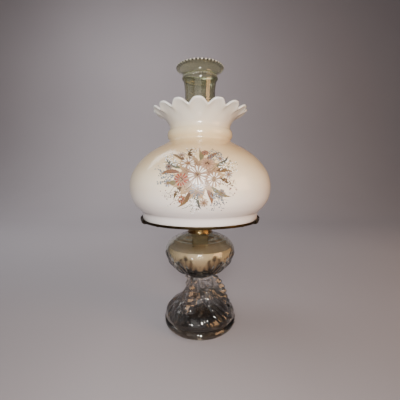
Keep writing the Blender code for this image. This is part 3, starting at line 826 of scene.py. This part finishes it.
SHAFT_Y, SHAFT_Z = -6.3, 175.5
basket_low, basket_high = box("burner_basket")
basket_side = rounded([(basket_high[0], basket_high[2]), (39.5, 181.2), (32.4, 175.6), (24.6, 171),
                       (21.4, 168), (21.4, basket_low[2])], 2.0, closed=False)
basket_in = rounded([(20.6, basket_low[2]), (20.6, 168.4), (24.2, 171.8), (31.8, 176.3), (38.9, 182),
                     (40.2, basket_high[2])], 2.0, closed=False)
basket = surface("brass_basket", turned(np.vstack([basket_side, basket_in]), 120), rows_close=True)
AIR_HOLES = 12
hole_angles = (np.arange(AIR_HOLES) + 0.5) * 360 / AIR_HOLES
cuts = [rod(on_circle(27, a, 186), on_circle(38.5, a, 167), 2.3) for a in hole_angles]
cuts.append(rod((10, SHAFT_Y, SHAFT_Z), (60, SHAFT_Y, SHAFT_Z), 2.7))
finished(pierced(basket, cuts), SPUN, "burner_basket")

gallery_low, gallery_high = box("gallery")
wall_out, wall_in = gallery_high[0], gallery_high[0] - 0.8
gallery = rounded([(wall_out, gallery_high[2]), (wall_out, gallery_low[2]), (27.5, gallery_low[2]),
                   (27.5, gallery_low[2] + 0.7), (wall_in, gallery_low[2] + 0.7),
                   (wall_in, gallery_high[2])], 0.35)


def fluted_wall(radius, angle, height):
    """The gallery's wall has 48 shallow flutes, 0.25 mm deep, which keep to the wall's inner side."""
    flute = 0.25 * (radius > wall_in - 0.1) * (height > gallery_low[2] + 0.9) * (1 - np.cos(48 * angle)) / 2
    return radius - flute, height


finished(surface("brass_gallery", turned(gallery, 384, fluted_wall), rows_close=True), SPUN, "gallery")

# %% Air plate, vent tube, dome and springs
plate_low, plate_high = box("air_plate")
plate = rounded([(0, plate_high[2]), (plate_high[0], plate_high[2]), (plate_high[0], plate_low[2]),
                 (0, plate_low[2])], 0.25, closed=False)
plate = surface("brass_air_plate", turned(plate, 120))
cuts = [rod(on_circle(25, a, 178), on_circle(25, a, 186), 2.2) for a in hole_angles]
finished(pierced(plate, [slot + (0, 0, 20), *cuts]), SPUN, "air_plate")

vent_low, vent_high = box("vent_tube")
vent = rounded([(1.8, vent_high[2]), (1.8, vent_low[2]), (1.2, vent_low[2]), (1.2, vent_high[2])], 0.2)
finished(surface("brass_vent", turned(vent, 32) + (0, VENT_Y, 0), rows_close=True), SPUN, "vent_tube")

dome_low, dome_high = box("deflector_cone")
dome_out = eased([(0, dome_high[2]), (8, 206.6), (15, 204.8), (21, 201), (25.5, 195.5), (28.5, 189.5),
                  (29.3, dome_low[2] + 1)], 6)
dome_in = eased([(28.4, dome_low[2]), (27.6, 189.2), (24.6, 194.9), (20.3, 200.2), (14.6, 203.9),
                 (7.8, 205.6), (0, 206)], 6)
dome_edge = [(32.4, dome_low[2] + 0.9), (32.5, dome_low[2] + 0.5), (32.4, dome_low[2])]
dome = surface("brass_dome", turned(np.vstack([dome_out, dome_edge, dome_in]), 120))
flame_slot = capped(stadium(15.5, 4, [215, 199.5]))
finished(pierced(dome, [flame_slot]), SPUN, "deflector_cone")

spring_path = eased([(40.3, 184.8), (40.3, 190), (39.5, 194.5), (38.8, 197.5), (39.8, 200.5),
                     (41.5, 202.9)], 6)
for number, azimuth in enumerate((45, 135, 225, 315), 1):
    spring = surface(f"brass_spring_{number}", strip(spring_path, 7.9, 0.55, azimuth))
    finished(spring, STRIP_BRASS, f"chimney_prong_{number}")

# %% [markdown]
# ## Wick and winder
#
# The wick stands in a flat tube, and two toothed wheels on the winder's shaft lift it through windows in
# the tube. The knob's edge is milled for the fingers: a cosine of 40 waves on its radius.

# %% Wick tube and wick
tube_low, tube_high = box("wick_tube")
tube_wall = 0.6
tube = stadium([TUBE_WIDTH, TUBE_WIDTH, TUBE_WIDTH - tube_wall, TUBE_WIDTH - tube_wall],
               [TUBE_DEPTH, TUBE_DEPTH, TUBE_DEPTH - tube_wall, TUBE_DEPTH - tube_wall],
               [tube_high[2], tube_low[2], tube_low[2], tube_high[2]])
tube = surface("brass_wick_tube", tube, rows_close=True)
SPUR_X = 6.5
windows = []
for x in (-SPUR_X, SPUR_X):
    window = capped(stadium(1.4, 1.39, [-TUBE_DEPTH - 2, -TUBE_DEPTH + 2]))[:, :, [0, 2, 1]]
    windows.append(window * (1, 1, 3.3) + (x, 0, SHAFT_Z))
finished(pierced(tube, windows), SPUN, "wick_tube")

wick_low, wick_high = box("wick")
levels = np.linspace(wick_high[2] - 0.3, wick_low[2] + 0.3, 120)
ribs = 1.32 + 0.06 * np.cos(TURN * levels / 1.3)
cloth = stadium(wick_high[0] - 0.05, ribs, levels, 96)
caps = cloth[[0, -1]] * (0.9, 0.6, 1) + np.array([0, 0, 0.25]) * np.array([1, -1])[:, None, None]
cloth = capped(np.concatenate([caps[:1], cloth, caps[1:]]))
finished(surface("cotton_wick", cloth), COTTON, "wick")


# %% Winder
def along_shaft(outline, steps, shape=None):
    """A turned shape laid along +X on the shaft's axis, its heights becoming x."""
    return turned(outline, steps, shape)[..., [2, 0, 1]] + (0, SHAFT_Y, SHAFT_Z)


def milled(radius, angle, height):
    edge = smooth_step(radius, 7.4, 8.3)
    return radius - 0.35 * edge * (1 - np.cos(40 * angle)) / 2, height


shaft_low, shaft_high = box("winder_shaft")
shaft = rounded([(0, shaft_high[0]), (1.2, shaft_high[0]), (1.2, shaft_low[0]), (0, shaft_low[0])], 0.3,
                closed=False)
finished(surface("brass_shaft", along_shaft(shaft, 32)), SPUN, "winder_shaft")

knob_x = box("winder_knob")[0][0] + 0.3
knob = [(0, 2.2), (3, 2.1), (5.6, 1.5), (7.2, 1.9), (8.45, 1.5), (8.45, 0.1), (7.2, -0.3), (5.6, 0.1),
        (2.4, 0), (0, 0)]
knob = rounded(knob, 0.5, closed=False) + (0, knob_x)
finished(surface("brass_knob", along_shaft(knob, 320, milled)), SPUN, "winder_knob")

bushing_low, bushing_high = box("shaft_bushing")
bushing = rounded([(2.4, bushing_high[0]), (2.4, bushing_low[0]), (1.5, bushing_low[0]),
                   (1.5, bushing_high[0])], 0.2)
finished(surface("brass_bushing", along_shaft(bushing, 40), rows_close=True), SPUN, "shaft_bushing")

# The spur wheels and the inner bearing are hidden, so they keep their frame shape and only get the brass
# painted dark as painted shade.
for node in ("spur_wheel_left", "spur_wheel_right", "shaft_bracket"):
    mesh = frame["nodes"][node].data
    mesh.materials.clear()
    mesh.materials.append(SHADED_BRASS)

# %% [markdown]
# ## Chimney
#
# The chimney is blown thin, with a slim bulge round the flame and a long neck. Its crown was crimped hot
# into a rim of glass beads, with a ring of smaller ones at the throat. The wall is a shell under one eased
# outline, and the beads swell out of it, so that wall and beads stay one closed skin.

# %% Chimney wall and beaded crown
CHIMNEY_LOW, CHIMNEY_HIGH = box("chimney")
CHIMNEY_WALL = 1.7
CROWN_BEADS = 42
BEAD_RADIUS = 1.9
crown_out, crown_up = 36.6 - BEAD_RADIUS, CHIMNEY_HIGH[2] - BEAD_RADIUS
THROAT_RADIUS, THROAT_HEIGHT = 25.6, 381  # the lower ring of beads
CROWN_BAND = 22  # how far down the wall from the rim the rows lie closer, for the beads
chimney_side = eased([(38, CHIMNEY_LOW[2]), (38, 195.5), (36.4, 204), (37.6, 220), (38.2, 236), (37, 252),
                      (32, 279), (26.4, 308), (23.4, 338), (22.8, 358), (24.2, 374), (26.2, 380),
                      (25.2, 385.5), (28.4, 390), (crown_out, crown_up)])[::-1]
chimney_skin = np.vstack([spaced(chimney_side, 46, 0.2, lengths(chimney_side)[-1] - CROWN_BAND)[:-1],
                          spaced(chimney_side, 80, CROWN_BAND, CHIMNEY_WALL / 2)])


def beaded(points):
    """Swells the wall round two rings of beads: each point moves away from the ring (R, Z) by up to
    gain times its distance, gain = size |cos(beads a / 2)|^0.7 exp(-(distance / reach)^2)."""
    radius = np.hypot(points[..., 0], points[..., 1])
    angle = np.arctan2(points[..., 1], points[..., 0])
    wave = np.abs(np.cos(CROWN_BEADS * angle / 2)) ** 0.7
    out, up = radius.copy(), points[..., 2].copy()
    for ring_radius, ring_height, gain, reach in ((crown_out - 0.4, crown_up, 1.35, 2.3),
                                                  (THROAT_RADIUS, THROAT_HEIGHT, 0.9, 1.8)):
        away, above = radius - ring_radius, points[..., 2] - ring_height
        grow = gain * wave * np.exp(-(away**2 + above**2) / reach**2)
        out, up = out + away * grow, up + above * grow
    return np.stack([out * np.cos(angle), out * np.sin(angle), np.minimum(up, CHIMNEY_HIGH[2])], axis=-1)


chimney = beaded(shell(turned(chimney_skin, 8 * CROWN_BEADS), CHIMNEY_WALL, 9))
chimney_piece = finished(surface("glass_chimney", chimney, rows_close=True), crown_glass(), "chimney")


def bead_middle(radius, angle, height):
    """1 on the middle of a bead and 0 between two beads, and 0 away from the crown's two rings: where the
    beads are painted milky as painted glints.
    """
    rim = np.hypot(radius - crown_out - 1.1, height - crown_up - 0.6)
    throat = height - THROAT_HEIGHT
    ring = np.maximum(np.exp(-((rim / 1.8) ** 2)), 0.85 * np.exp(-((throat / 1.1) ** 2)))
    return ring * np.cos(CROWN_BEADS * angle / 2) ** 2


marked(chimney_piece, "bead", bead_middle)

# %% [markdown]
# ## Opal shade
#
# The shade is opal glass, blown into a mold and crimped at the rim while it was soft. Each crimp is a wide
# round lobe between two narrow folds: 1 - 2 |sin(a/2)|^3.6 has that shape, and it grows from the neck
# to the rim. The finish colors the glass in soft bands by height, lilac white at the foot and tan at the
# shoulder.

# %% Shade outline
SHADE_LOW, SHADE_HIGH = box("shade")
SHADE_WALL = 3.0
INSET = 0.6  # the glass lies this far inside the frame, so that the enamel on it has room
SCALLOPS = 16
SCALLOP_START, SCALLOP_END = 309, 331
SCALLOP_TURN = math.radians(-1.9)
RIM_RADIUS = 68.6
shade_side = eased([(88.2, SHADE_LOW[2]), (89.0, 183), (92.6, 187.4), (98.6, 194.4), (103.6, 203.5),
                    (106.2, 215), (106, 227), (102, 241), (94.5, 253), (84, 264.5), (70, 275), (56, 282.8),
                    (48.4, 287.4), (47.2, 290), (49.2, 293.6), (49.8, 298), (48.8, 302.4), (46.6, 305.2),
                    (46.6, 311), (51, 319), (58.8, 325.8), (RIM_RADIUS, 330.6)], 24)
shade_side[:, 0] -= INSET
shade_skin = spaced(shade_side[::-1], 120, SHADE_WALL / 2, SHADE_WALL / 2)


def crimped(radius, angle, height):
    """radius + 3.6 g w and height + 3.4 g w, where g = ((h - start) / rise)^2 grows towards the rim and
    w = 1 - 2 |sin|^3.6 is a wide lobe between narrow folds."""
    grown = np.clip((height - SCALLOP_START) / (SCALLOP_END - SCALLOP_START), 0, 1) ** 2
    half = SCALLOPS * (angle + math.pi / 2 - SCALLOP_TURN) / 2
    wave = 1 - 2 * np.abs(np.sin(half)) ** 3.6
    return radius + 3.6 * grown * wave, height + 3.4 * grown * wave


shade_points = shell(turned(shade_skin, 384, crimped), SHADE_WALL)
print(f"the rim has {SCALLOPS} scallops, {TURN * RIM_RADIUS / SCALLOPS:.1f} mm apart")


# %% Opal glass
def opal_finish():
    """Opal glass with bands of color by height, cloudy at their edges."""
    finish = Finish("opal_glass_fine", Subsurface_Weight=0.12, Subsurface_Scale=3 * MM, Coat_Weight=0.35,
                    Coat_Roughness=0.04, IOR=1.5)
    finish.feed(Subsurface_Radius=(1.0, 0.8, 0.6))
    cloud = (finish.noise(28, 3) - 0.5) * 16 * MM
    low, high = SHADE_LOW[2] * MM, SHADE_HIGH[2] * MM
    level = (finish.z + cloud - low) / (high - low)
    bands = finish.ramp(level, [
        (0.0, color(226, 218, 214)), (0.08, color(220, 210, 206)), (0.2, color(232, 220, 208)),
        (0.36, color(232, 216, 190)), (0.5, color(222, 198, 160)), (0.64, color(210, 178, 132)),
        (0.76, color(222, 202, 164)), (0.86, color(216, 206, 190)), (1.0, color(222, 222, 218)),
    ])
    speckle = finish.noise(1400, 2).between(0.62, 0.78) * 0.12
    finish.feed(Base_Color=finish.mix(speckle, bands, color(170, 140, 110)),
                Roughness=0.14 + finish.noise(120, 4) * 0.12)
    finish.raise_by(finish.noise(60, 2), 0.15)
    return finish.material


finished(surface("opal_shade", shade_points, rows_close=True), opal_finish(), "shade")

# %% [markdown]
# ## The painted bouquet
#
# The bouquet was painted with thick enamel, one brush stroke after another, so each petal stands a
# little proud of the glass. It could be a flat texture, but then it would vanish from the mesh. Instead each
# stroke is a tiny grid laid on the shade: it has a middle line, a width that swells and tapers, and a
# crown, and its edge dips just under the glass. Colors go with the points, from the root's to the
# tip's. The bouquet is a round posy at even angles: a daisy in the middle, five flowers round it, nine small
# ones outside them, and leaves and sprays between.

# %% The shade's surface as a sheet to paint on
WIDEST = 219  # the height from which the sheet's s is measured, up along the glass
sheet_side = shade_side[shade_side[:, 1] < SCALLOP_START]
sheet_s = lengths(sheet_side)
sheet_s -= np.interp(WIDEST, sheet_side[:, 1], sheet_s)
sheet_slope = np.gradient(sheet_side, axis=0)
sheet_slope /= np.linalg.norm(sheet_slope, axis=1, keepdims=True)


def on_shade(x, s, lift):
    """The place on the glass x mm right of the lamp's front and s mm up from its widest ring, raised by
    lift along the normal: azimuth = x / radius(s)."""
    radius, height = (np.interp(s, sheet_s, sheet_side[:, k]) for k in (0, 1))
    along_r, along_z = (np.interp(s, sheet_s, sheet_slope[:, k]) for k in (0, 1))
    azimuth = x / radius
    radius = radius + along_z * lift
    return np.stack([radius * np.sin(azimuth), -radius * np.cos(azimuth), height - along_r * lift], axis=-1)


# %% One stroke
STROKE_ROWS, STROKE_COLUMNS = 9, 5
STROKE_T = np.linspace(0, 1, STROKE_ROWS)[:, None]
STROKE_U = np.linspace(-1, 1, STROKE_COLUMNS)
SHAPES = {
    "petal": np.sin(np.pi * STROKE_T**1.6) ** 0.55,  # widest near its blunt tip
    "leaf": np.sin(np.pi * STROKE_T**0.8) ** 1.1,  # widest near its root, with a sharp tip
    "stem": 0.35 + 0.65 * np.sin(np.pi * STROKE_T) ** 0.5,
    "dot": np.sqrt(np.clip(1 - (2 * STROKE_T - 1) ** 2, 0, 1)),
}
TINTS = {
    "white": (255, 253, 249), "cream": (240, 228, 208), "straw": (182, 156, 114), "tan": (138, 100, 64),
    "rust": (150, 44, 14), "brown": (82, 54, 38), "pink": (212, 172, 148), "mauve": (124, 92, 82),
    "plum": (72, 48, 46), "blue": (126, 134, 140), "slate": (78, 80, 86), "olive": (96, 86, 54),
    "sage": (108, 108, 86), "khaki": (136, 114, 76), "wash": (178, 150, 124),
}
TINTS = {name: np.array(color(*tint)[:3]) for name, tint in TINTS.items()}
grids, tints = [], []


def stroke(start, end, width, shape, root, tip, bend=0.0, layer=0, edge=None):
    """A stroke from start to end, (x, s) in millimetres, that bows sideways by bend times its length.
    Its color goes from root to tip, and to edge along both sides."""
    start, end = np.array(start, float), np.array(end, float)
    along = end - start
    across = np.array([along[1], -along[0]])
    length = max(np.linalg.norm(along), 0.01)
    middle = start + along * STROKE_T + across * bend * 4 * STROKE_T * (1 - STROKE_T)
    slope = np.gradient(middle, axis=0)
    slope /= np.linalg.norm(slope, axis=1, keepdims=True) + 1e-9
    half = SHAPES[shape] * width / 2
    x = middle[:, :1] + slope[:, 1:] * half * STROKE_U
    s = middle[:, 1:] - slope[:, :1] * half * STROKE_U
    crown = (1 - STROKE_U**2) * np.sin(np.pi * np.clip(STROKE_T, 0.06, 0.94)) ** 0.5
    lift = -0.03 + 0.012 * layer + crown * min(0.14, 0.05 + 0.02 * width)
    grids.append(on_shade(x, s, lift))
    mixed = TINTS[root] * (1 - STROKE_T[..., None]) + TINTS[tip] * STROKE_T[..., None]
    mixed = mixed + 0 * STROKE_U[:, None]
    if edge:
        rim = (np.abs(STROKE_U) ** 3)[:, None]
        mixed = mixed * (1 - rim) + TINTS[edge] * rim
    tints.append(mixed)


def dot(x, s, size, tint, layer=6):
    stroke((x - size / 2, s), (x + size / 2, s), size, "dot", tint, tint, layer=layer)


# %% Flowers, leaves and twigs
rng = np.random.default_rng(7)


def flower(x, s, size, petals, root, tip, edge=None, heart="tan", layer=3):
    """A ring of petals round a heart of dots, over a ring of shadow strokes."""
    middle = np.array([x, s])
    turns = TURN * np.arange(petals) / petals + np.radians(rng.uniform(-5, 5, petals))
    width = max(TURN * size * 0.62 / petals, 1.5)
    for turn in turns:
        shadow_way = np.array([math.cos(turn + 0.22), math.sin(turn + 0.22)])
        shadow_tip = middle + shadow_way * size * 1.04
        stroke(middle, shadow_tip, width * 1.2, "petal", "mauve", "wash", 0.05, layer - 2)
    for turn in turns:
        way = np.array([math.cos(turn), math.sin(turn)])
        tip_place = middle + way * size * rng.uniform(0.86, 1.02)
        stroke(middle + way * size * 0.18, tip_place, width, "petal", root, tip,
               rng.uniform(-0.06, 0.06), layer, edge)
    for turn in rng.uniform(0, TURN, 14):
        reach = size * 0.26 * math.sqrt(rng.uniform(0.05, 1))
        tint = heart if reach > size * 0.13 else "brown"
        dot(x + reach * math.cos(turn), s + reach * math.sin(turn), size * 0.17, tint, layer + 2)


def leaf(start, end, width, root, tip, bend, edge):
    """A leaf with a fine vein down its middle."""
    stroke(start, end, width, "leaf", root, tip, bend, 1, edge)
    stroke(start, end, 0.35, "stem", "straw", root, bend, 4)


def twig(points, size, tint, blossom, spread, layer):
    """A thin curved stem through points, with two small blossoms scattered round each step of it."""
    path = spaced(eased(points), 3 * len(points) - 2)
    for start, end in zip(path, path[1:]):
        stroke(start, end, 0.45, "stem", tint, tint, 0, layer)
    for place in path[1:]:
        for offset in rng.normal(0, spread, (2, 2)):
            dot(*(place + offset), size * rng.uniform(0.7, 1.25), blossom, layer + 4)


def spray(start, end, size, blossom, shadow, twigs=3, fan=0.36):
    """A fan of twigs from start towards end, with light blossoms over smaller dark ones."""
    along = end - start
    for turn in np.linspace(-fan, fan, twigs):
        way = np.array([along[0] * math.cos(turn) - along[1] * math.sin(turn),
                        along[0] * math.sin(turn) + along[1] * math.cos(turn)]) * rng.uniform(0.8, 1.1)
        path = [start, start + way / 2 + np.array([-way[1], way[0]]) * 0.12, start + way]
        twig(path, size * 0.75, shadow, shadow, 1.7, 2)
        twig(path, size, shadow, blossom, 2.2, 3)


# %% Where things go in the bouquet
POSY_MIDDLE = np.array([-3, 20])  # x and s on the sheet
POSY_REACH = np.array([48, 44])  # from its middle to its edge, sideways and up


def in_posy(turn, out):
    """The place at turn degrees round the bouquet, at the share out of the way from its middle to its
    edge: middle + reach * out * (cos turn, sin turn)."""
    turn = math.radians(turn)
    return POSY_MIDDLE + POSY_REACH * out * (math.cos(turn), math.sin(turn))


def even_turns(number, first=0.0):
    """Angles in degrees, evenly round the bouquet and each a little off."""
    return first + 360 * np.arange(number) / number + rng.uniform(-4, 4, number)


# %% Paint the wash, the leaves and the stems behind the flowers
LEAF_TINTS = (("plum", "khaki", "tan"), ("sage", "slate", "olive"), ("mauve", "tan", "brown"),
              ("sage", "khaki", "olive"), ("brown", "olive", "plum"))

for turn in even_turns(14):
    root_place = in_posy(turn, 0.12)
    for side in (-11, 0, 11):
        bow, tip_out = side / 46, rng.uniform(0.6, 0.82)
        stroke(root_place, in_posy(turn + side, tip_out), 4.6, "leaf", "mauve", "straw", bow, 0, "wash")
        stroke(root_place, in_posy(turn + side, 0.8 * tip_out), 2.2, "leaf", "brown", "khaki", bow, 1)
for number, turn in enumerate(even_turns(15, 8)):
    root, tip, edge = LEAF_TINTS[number % 5]
    bow = 0.12 if number % 2 else -0.12
    tip_place = in_posy(turn + 60 * bow, rng.uniform(0.86, 1.06))
    leaf(in_posy(turn, 0.4), tip_place, 6.6, root, tip, bow, edge)
for turn in even_turns(11, -150):
    stroke(in_posy(turn, 0.3), in_posy(turn + 12, 1.04), 0.8, "stem", "olive", "khaki", 0.14, 2)

# %% Paint the sprays
SPRAY_TINTS = (("white", "sage"), ("blue", "slate"), ("cream", "mauve"))

for number, turn in enumerate(even_turns(9, 20)):
    spray(in_posy(turn, 0.55), in_posy(turn, 1.04), 1.8, *SPRAY_TINTS[number % 3])

# %% Paint the flowers: small ones outside, five larger ones inside, and a daisy in the middle
SMALL_FLOWERS = (("slate", "white", "sage", "khaki"), ("rust", "tan", "brown", "brown"),
                 ("mauve", "cream", "tan", "khaki"), ("slate", "blue", "sage", "plum"))
LARGER_FLOWERS = (("tan", "pink", "brown", "plum"), ("cream", "white", "tan", "tan"),
                  ("rust", "rust", "brown", "brown"), ("slate", "blue", "sage", "khaki"),
                  ("cream", "white", "tan", "khaki"))

for number, turn in enumerate(even_turns(9, 40)):
    flower(*in_posy(turn, 0.77), 5.4, 8, *SMALL_FLOWERS[number % 4])
for turn, paint in zip(even_turns(5, 54), LARGER_FLOWERS):
    flower(*in_posy(turn, 0.42), 9.2, 12, *paint, 4)
flower(*in_posy(0, 0), 12.5, 15, "cream", "white", "tan", "khaki", 5)
print(f"{len(grids)} strokes of enamel")


# %% Lay the strokes on the glass
def strokes_mesh(name):
    """One mesh of all the strokes, with the attribute paint for their colors."""
    points, paint = np.array(grids), np.array(tints)
    grid = np.arange(STROKE_ROWS * STROKE_COLUMNS).reshape(STROKE_ROWS, STROKE_COLUMNS)
    quad = np.stack([grid[:-1, :-1], grid[:-1, 1:], grid[1:, 1:], grid[1:, :-1]], axis=-1).reshape(-1, 4)
    faces = (quad + np.arange(len(points))[:, None, None] * grid.size).reshape(-1, 4)
    mesh = bpy.data.meshes.new(name)
    mesh.from_pydata((points.reshape(-1, 3) * MM).tolist(), [], faces.tolist())
    layer = mesh.attributes.new("paint", "FLOAT_COLOR", "POINT")
    solid = np.concatenate([paint.reshape(-1, 3), np.ones((paint.size // 3, 1))], axis=1)
    layer.data.foreach_set("color", solid.ravel())
    mesh.shade_smooth()
    obj = bpy.data.objects.new(name, mesh)
    bpy.context.scene.collection.objects.link(obj)
    return obj


def enamel_finish():
    """Fired enamel: the painted color, streaked by the brush, with a soft gloss."""
    finish = Finish("enamel", Coat_Weight=0.2, Coat_Roughness=0.1)
    paint = finish.node("ShaderNodeAttribute", {"attribute_name": "paint"}, (), "Color")
    streaks = finish.noise(900, 3, (1, 1, 0.35))
    finish.feed(Base_Color=finish.mix(streaks * 0.35, paint, color(120, 100, 84), "MULTIPLY"),
                Roughness=0.28 + streaks * 0.2)
    finish.raise_by(streaks, 0.05)
    return finish.material


bouquet = strokes_mesh("painted_bouquet")
bouquet.data.materials.append(enamel_finish())
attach(bouquet, "shade")


# %% [markdown]
# ## Floor
#
# The floor is a sheet of paper that rises behind the lamp in a wide curve.

# %% Paper sweep
def paper_sweep():
    """A sheet 6 m wide: y runs back, and the height follows a quarter circle of radius 0.9 m that
    starts 0.8 m behind the lamp."""
    start, bend_radius, top = 0.8, 0.9, 3.0
    angle = np.linspace(0, np.pi / 2, 24)
    y = np.concatenate([[-3.5], start + bend_radius * np.sin(angle), [start + bend_radius]])
    z = np.concatenate([[0], bend_radius * (1 - np.cos(angle)), [top]])
    x = np.linspace(-3, 3, 2)
    points = np.stack(np.broadcast_arrays(x, y[:, None], z[:, None]), axis=-1).reshape(-1, 3)
    row = np.arange(len(y) - 1)[:, None] * 2
    mesh = bpy.data.meshes.new("paper_sweep")
    mesh.from_pydata(points.tolist(), [], (row + np.array([0, 1, 3, 2])).tolist())
    mesh.shade_smooth()
    obj = bpy.data.objects.new("paper_sweep", mesh)
    bpy.context.scene.collection.objects.link(obj)
    return obj


paper = Finish("paper", Roughness=0.85)
paper.feed(Base_Color=paper.mix(paper.noise(2.0, 2), color(154, 148, 152), color(162, 156, 159)))
sweep = paper_sweep()
sweep.data.materials.append(paper.material)
